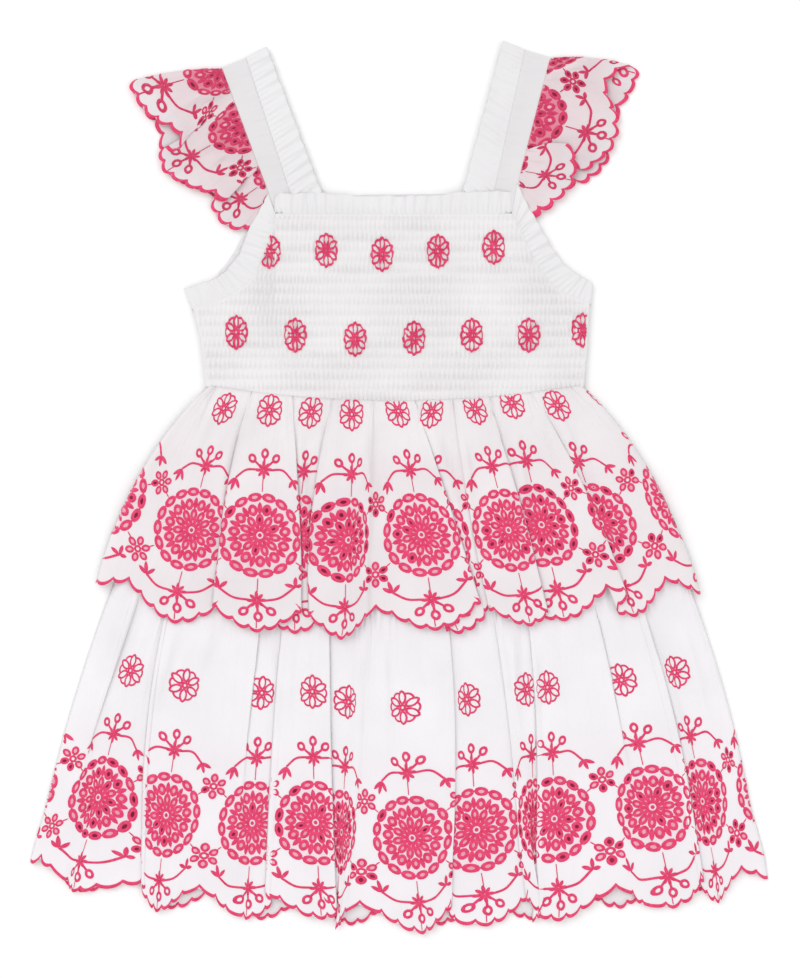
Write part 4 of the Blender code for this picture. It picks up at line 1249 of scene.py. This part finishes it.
# flutter sleeves, which go over to the back at a cusp of the hem
# places: cloth in repeats, place up the seam, hem's x and y
# sag is upward, folds are the height in the pleat, behind is 0 on the front and 1 on the back
sleeves = {
    "left": {
        "seam": ((-77.6, 175.6), (-92.0, 213.8), (-106.2, 251.9)),
        "turnedAt": 3.13,
        "cuts": (
            (0.52, 27), (0.62, 29), (1, 38), (1.5, 47.5), (2, 55), (3, 57), (5, 50), (5.65, 32),
        ),
        "seenInside": (),  # rosettes and sprigs that show from within, where the back passes the front
        "places": (
            (0.52, 0, -82, 155), (0.62, 0, -88.6, 156.7), (0.72, 0.02, -95.2, 154.9),
            (0.80, 0.04, -100, 156.1), (0.88, 0.06, -104.8, 157.9), (1.00, 0.1, -109.3, 163.6),
            (1.08, 0.135, -112, 168.7), (1.20, 0.19, -112, 174.7), (1.27, 0.215, -107.2, 172.9),
            (1.34, 0.23, -103, 170.5), (1.42, 0.26, -107.2, 174.4), (1.50, 0.3, -112.6, 177.4),
            (1.62, 0.35, -119.2, 178.3), (1.75, 0.41, -126.4, 181.3), (1.88, 0.475, -134.2, 185.5),
            (2.00, 0.54, -140.2, 189.4), (2.12, 0.6, -143.2, 196), (2.23, 0.65, -143.2, 202.6),
            (2.31, 0.69, -139.7, 205.3), (2.39, 0.73, -136, 201.7), (2.48, 0.765, -130.9, 202.9),
            (2.57, 0.8, -131.2, 208.9), (2.66, 0.84, -133, 214.3), (2.75, 0.88, -139.3, 217.9),
            (2.84, 0.92, -146.5, 220.6), (2.92, 0.955, -153.4, 227.2), (3.00, 0.98, -158.2, 235.6),
            (3.08, 0.992, -161.5, 241.9), (3.13, 1, -160, 245.8), (3.18, 0.992, -160.7, 241.9),
            (3.30, 0.96, -157.7, 234.1), (3.45, 0.92, -152.8, 226.3), (3.60, 0.88, -147.4, 220.3),
            (3.72, 0.84, -144.2, 215.5), (3.84, 0.79, -143.2, 209.5), (3.95, 0.75, -143.5, 204.1),
            (4.10, 0.68, -141.4, 196.3), (4.30, 0.6, -137.2, 189.1), (4.50, 0.52, -128.8, 183.1),
            (4.70, 0.44, -119.8, 180.1), (4.90, 0.36, -112, 177.1), (5.10, 0.28, -107.2, 169.3),
            (5.30, 0.2, -102.5, 161.5), (5.50, 0.1, -95.8, 157.3), (5.65, 0, -89.2, 158.5),
        ),
        "sag": (
            (0.52, 0), (1.42, 0), (1.50, 1.2), (1.88, 1.2), (2.00, 0), (2.31, 0), (2.39, 1.8), (2.48, 4.2),
            (2.57, 4.8), (2.75, 2.4), (2.84, 1.8), (2.92, 1.2), (3.00, 1.2), (3.08, 1.8), (3.13, 2.4),
            (3.18, 1.8), (3.30, 0), (5.65, 0),
        ),
        "folds": (
            (0.52, 0), (0.62, 0.1), (0.88, 0.1), (1.00, 0.05), (1.08, 0), (1.20, 0), (1.27, 0.33),
            (1.34, 1), (1.42, 1), (1.50, 0.9), (1.62, 0.8), (1.88, 0.6), (2.12, 0.4), (2.23, 0.3),
            (2.31, 0.25), (2.39, 0.3), (2.66, 0.6), (2.92, 0.6), (3.08, 0.4), (3.18, 0), (5.65, 0),
        ),
        "behind": (
            (0.52, 0.45), (0.62, 0.2), (0.72, 0), (3.08, 0), (3.18, 1), (5.65, 1),
        ),
        "creases": (
            (1.3, 3, 0.1, 0.5, ((-102, 239), (-119, 235), (-127, 231), (-136, 226))),
            (1.2, 3, 0.1, 0.5, ((-87, 202), (-98, 201), (-107, 199), (-118, 192))),
            (-0.9, 4, 0.2, 0.5, ((-100, 232), (-118, 226), (-133, 214))),
            (0.8, 4, 0.3, 0.4, ((-98, 217), (-118, 205), (-133, 195))),
            (-0.8, 3.5, 0.2, 0.5, ((-86, 192), (-101, 187), (-113, 184))),
        ),
    },
    "right": {
        "seam": ((71.0, 181.3), (81.0, 219.7), (90.9, 258.1)),
        "turnedAt": 2.92,
        "cuts": (
            (0.4, 24), (0.5, 26), (1, 35), (1.5, 44), (2, 52), (3, 55), (4.2, 50), (5, 28),
        ),
        "seenInside": (3, 4),
        "places": (
            (0.40, 0, 76.5, 161.5), (0.50, 0, 83, 163.5), (0.61, 0.02, 89.2, 167.5),
            (0.76, 0.05, 95.8, 173.5), (0.88, 0.08, 101, 178.3), (1.00, 0.117, 105.1, 184.3),
            (1.12, 0.18, 105.8, 190.3), (1.25, 0.23, 105.5, 197.5), (1.33, 0.26, 103.6, 202.3),
            (1.40, 0.28, 101.8, 207.4), (1.51, 0.28, 104.5, 197.5), (1.62, 0.285, 110, 189.7),
            (1.70, 0.32, 115.3, 192.7), (1.80, 0.38, 120.8, 197.5), (1.91, 0.46, 127, 202.3),
            (2.00, 0.54, 129.2, 208.3), (2.09, 0.6, 131.5, 213.7), (2.18, 0.66, 130.9, 219.1),
            (2.27, 0.71, 131.5, 223.3), (2.37, 0.77, 128.8, 228.4), (2.48, 0.82, 125.8, 234.7),
            (2.60, 0.88, 123.8, 241.9), (2.73, 0.94, 128.2, 248.5), (2.86, 0.985, 135.8, 253.6),
            (2.92, 1, 141.2, 253.6), (2.98, 0.992, 143.8, 250.3), (3.05, 0.97, 143.2, 245.5),
            (3.16, 0.93, 140.2, 240.7), (3.27, 0.89, 139, 235.9), (3.37, 0.85, 134.2, 231.7),
            (3.48, 0.81, 132.2, 226.3), (3.62, 0.75, 130.3, 217.3), (3.80, 0.66, 128.5, 208.3),
            (3.95, 0.58, 126.4, 200.5), (4.06, 0.53, 124.6, 195.1), (4.16, 0.48, 120.4, 190.3),
            (4.26, 0.44, 115.3, 186.1), (4.34, 0.4, 111.1, 183.4), (4.42, 0.36, 107, 183.7),
            (4.60, 0.28, 100.3, 178.9), (4.80, 0.14, 91.3, 170.5), (5.00, 0, 83, 165.7),
        ),
        "sag": (
            (0.40, 0), (1.25, 0), (1.33, 1.2), (1.40, 2.4), (1.51, 0), (2.27, 0), (2.37, 1.2), (2.48, 3),
            (2.60, 3.6), (2.86, 2.4), (2.92, 3), (2.98, 3), (3.05, 0), (5.00, 0),
        ),
        "folds": (
            (0.40, 0), (0.50, 0.1), (0.61, 0.15), (0.76, 0.3), (1.00, 0.6), (1.12, 0.8), (1.25, 1),
            (1.40, 1), (1.62, 0), (1.70, 0.05), (1.80, 0.1), (1.91, 0.15), (2.00, 0.2), (2.18, 0.2),
            (2.27, 0.25), (2.37, 0.3), (2.48, 0.4), (2.60, 0.5), (2.73, 0.5), (2.86, 0.3), (2.98, 0),
            (5.00, 0),
        ),
        "behind": (
            (0.40, 0.45), (0.50, 0.2), (0.61, 0), (2.86, 0), (2.98, 1), (5.00, 1),
        ),
        "creases": (
            (1.4, 2.6, 0.1, 0.5, ((89, 249), (99, 251), (108, 253.5), (119, 257))),
            (-1, 3, 0.1, 0.5, ((88, 244), (102, 243), (113, 240), (119, 232))),
            (1.1, 3, 0.1, 0.5, ((80, 211), (95, 212), (108, 210))),
            (0.9, 3.5, 0.3, 0.4, ((105, 238), (112, 224), (114, 206))),
            (-0.9, 3.5, 0.2, 0.5, ((76, 196), (90, 190), (103, 184))),
        ),
    },
}
sleeveCloth = {
    "rows": 32, "columnsPerRepeat": 46, "scallopGap": 9.4,
    "seamZ": 2.45, "hemZ": 2.6, "backZ": 0.7, "pleatRise": 1.9,
}


def sleevePanel(sleeve, faceUp):
    first, last = sleeve["places"][0][0], sleeve["places"][-1][0]
    cloth = np.linspace(first, last, round((last - first) * sleeveCloth["columnsPerRepeat"]) + 1)
    up, hemX, hemY = (blur(readTable(sleeve["places"], cloth, k), 1.0) for k in (1, 2, 3))
    sag, fold, behind = (blur(readTable(sleeve[name], cloth), 1.0) for name in ("sag", "folds", "behind"))
    low = readTable(sleeve["cuts"], cloth)
    steps = np.hypot(np.diff(hemX), np.diff(hemY))
    walked = np.concatenate([[0], np.cumsum(steps)]) / sleeveCloth["scallopGap"]
    walked = walked - np.interp(sleeve["turnedAt"], cloth, walked)

    def fullAt(at):
        dip = scallopDip(np.interp(at, cloth, walked))
        return np.interp(at, cloth, low) - border["lobeDepth"] * lobe(at) - border["scallopDepth"] * dip

    seam = smoothCurve(sleeve["seam"], up)
    hemLine = np.stack([hemX, hemY], axis=1)
    long = np.linalg.norm(hemLine - seam, axis=1)
    share = np.linspace(0, 1, sleeveCloth["rows"])[:, None]
    reach = share * (1 + border["scallopDepth"] * (0.4 - scallopDip(walked)) / long)
    flat = blend(seam[None], hemLine[None], reach[..., None])
    flat[..., 1] += sag * 4 * reach * (1 - reach)
    front = blend(sleeveCloth["seamZ"], sleeveCloth["hemZ"], share)
    front = front + fold * sleeveCloth["pleatRise"] * smoothStep(share * 1.5)
    front = front + creaseHeight(flat[..., 0], flat[..., 1], sleeve["creases"]) * smoothStep(share * 6)
    z = blend(front, sleeveCloth["backZ"], behind)
    full = fullAt(cloth)
    sewn = sewable(cloth, low, full, 0.0, np.concatenate([flat, z[..., None]], axis=2))
    sewn.update(fullAt=fullAt, faceUp=faceUp)
    return sewn, clothMap(cloth, share * full)


def makeSleeves():
    for side, faceUp in (("left", -1), ("right", 1)):
        sewn, onCloth = sleevePanel(sleeves[side], faceUp)
        spots, onCloth = sewn["spots"][::-faceUp], onCloth[::-faceUp]  # so that the front's faces point up
        name = side + "SleeveCloth"
        haze = pinkHaze(onCloth[..., 0] / repeatWidth, sewn["low"][None, :] - onCloth[..., 1])
        cloth = clothFromGrid(name, spots, onCloth, "sleeve", haze)
        # most eyelets on the sleeves get painted shade
        placings = rosettesAt(wholeRepeats(sewn), stitching["onSleeve"])
        thread = sewOn(name + "Embroidery", sewn, placings, thread="deepThread")
        sewnOn = [thread, hemEdge(name + "Edge", sewn)]
        placings = rosettesAt(sleeves[side]["seenInside"], stitching["inSleeve"])
        if placings:
            sewnOn.append(sewOn(name + "InsideEmbroidery", sewn, placings, inside=True))
        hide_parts(side + "_sleeve")
        print(name, "made")


makeSleeves()


# with the same scalloped hem as the front, smooth where they rest on the surface
backPanels = {
    "inset": 3.5,  # how far the sides and the hem lie inside the front's
    "inWaist": 1,
    "columnsPerRepeat": 36,
    "belowWaist": 0.5,
    "z": 0.9,
    "overTier": (0.46, 0.07),  # level at which the skirt comes down off the tier beneath, and over what share
    "waves": (0.08, ((9.0, 2.0), (14.5, -3.0), (23.0, 1.0))),  # height, then rate across the cloth and lean
}


def backPanel(panel, lobes, raised):
    across = np.linspace(0, 1, lobes * backPanels["columnsPerRepeat"] + 1)
    cloth = 0.5 + across * lobes
    inset = backPanels["inset"]
    low = np.full(len(cloth), panel["cut"] - inset)
    topX = blend(waist["left"] + backPanels["inWaist"], waist["right"] - backPanels["inWaist"], across)
    left, right = panel["places"][0], panel["places"][-1]
    middleX, lowX = (blend(left[k] + inset, right[k] - inset, across) for k in (1, 2))
    below = backPanels["belowWaist"]
    full, down, level, x, y = hang(panel, cloth, topX, middleX, lowX, panel["rows"] // 2, below, low)
    tall, waves = backPanels["waves"]
    start, reach = backPanels["overTier"]
    z = backPanels["z"] + raised * (1 - smoothStep((level - start) / reach))
    z = z + tall * sum(np.sin(cloth * rate + level * lean) for rate, lean in waves)
    return sewable(cloth, low, full, below, np.stack([x, y, z], axis=2)), clothMap(cloth, down)


def makeBackPanel(name, node, panel, lobes, raised):
    sewn, onCloth = backPanel(panel, lobes, raised)
    cloth = clothFromGrid(name, sewn["spots"][::-1], onCloth[::-1], "border")
    edge = hemEdge(name + "Edge", sewn)
    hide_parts(node)
    print(name, "made")


makeBackPanel("backSkirtCloth", "back_skirt", frontSkirt, 8, 1.2)
makeBackPanel("backTierCloth", "back_tier", frontTier, 7, 0)


studio = {
    "floor": (3, -0.3, (0.96, 0.96, 0.96)),  # half its width in metres, height in millimetres, colour
    "daylight": 0.85,
    # name, place, size and power
    "softboxes": (("key", (-2.7, 2.6, 3.4), 3.4, 71), ("fill", (2.4, -1.6, 3.6), 3.0, 27)),
    "lens": 70,
    "camera": (0.75, -1.1, 1146),
}


def makeFloor(reach, height, colour):
    shape = bmesh.new()
    bmesh.ops.create_grid(shape, x_segments=1, y_segments=1, size=reach)
    floor = addObject("floor", meshFrom(shape, "floor"))
    floor.location.z = height * mm
    floor.data.materials.append(newMaterial("floor", colour, 0.9, 0.0))


def makeDaylight(strength):
    world = bpy.data.worlds.new("studio")
    bpy.context.scene.world = world
    world.use_nodes = True
    background = world.node_tree.nodes["Background"]
    background.inputs["Color"].default_value = (1, 1, 1, 1)
    background.inputs["Strength"].default_value = strength


def softbox(name, place, size, power):
    light = bpy.data.lights.new(name, "AREA")
    light.shape = "SQUARE"
    light.size = size
    light.energy = power
    made = addObject(name, light)
    made.location = place
    made.rotation_euler = made.location.to_track_quat("Z", "Y").to_euler()


def makeCamera(lens, place):
    eye = bpy.data.cameras.new("camera")
    eye.lens = lens
    camera = addObject("camera", eye)
    camera.location = [value * mm for value in place]
    bpy.context.scene.camera = camera
    bpy.context.scene.view_settings.view_transform = "Standard"


makeFloor(*studio["floor"])
makeDaylight(studio["daylight"])
for values in studio["softboxes"]:
    softbox(*values)
makeCamera(studio["lens"], studio["camera"])
print("studio set")
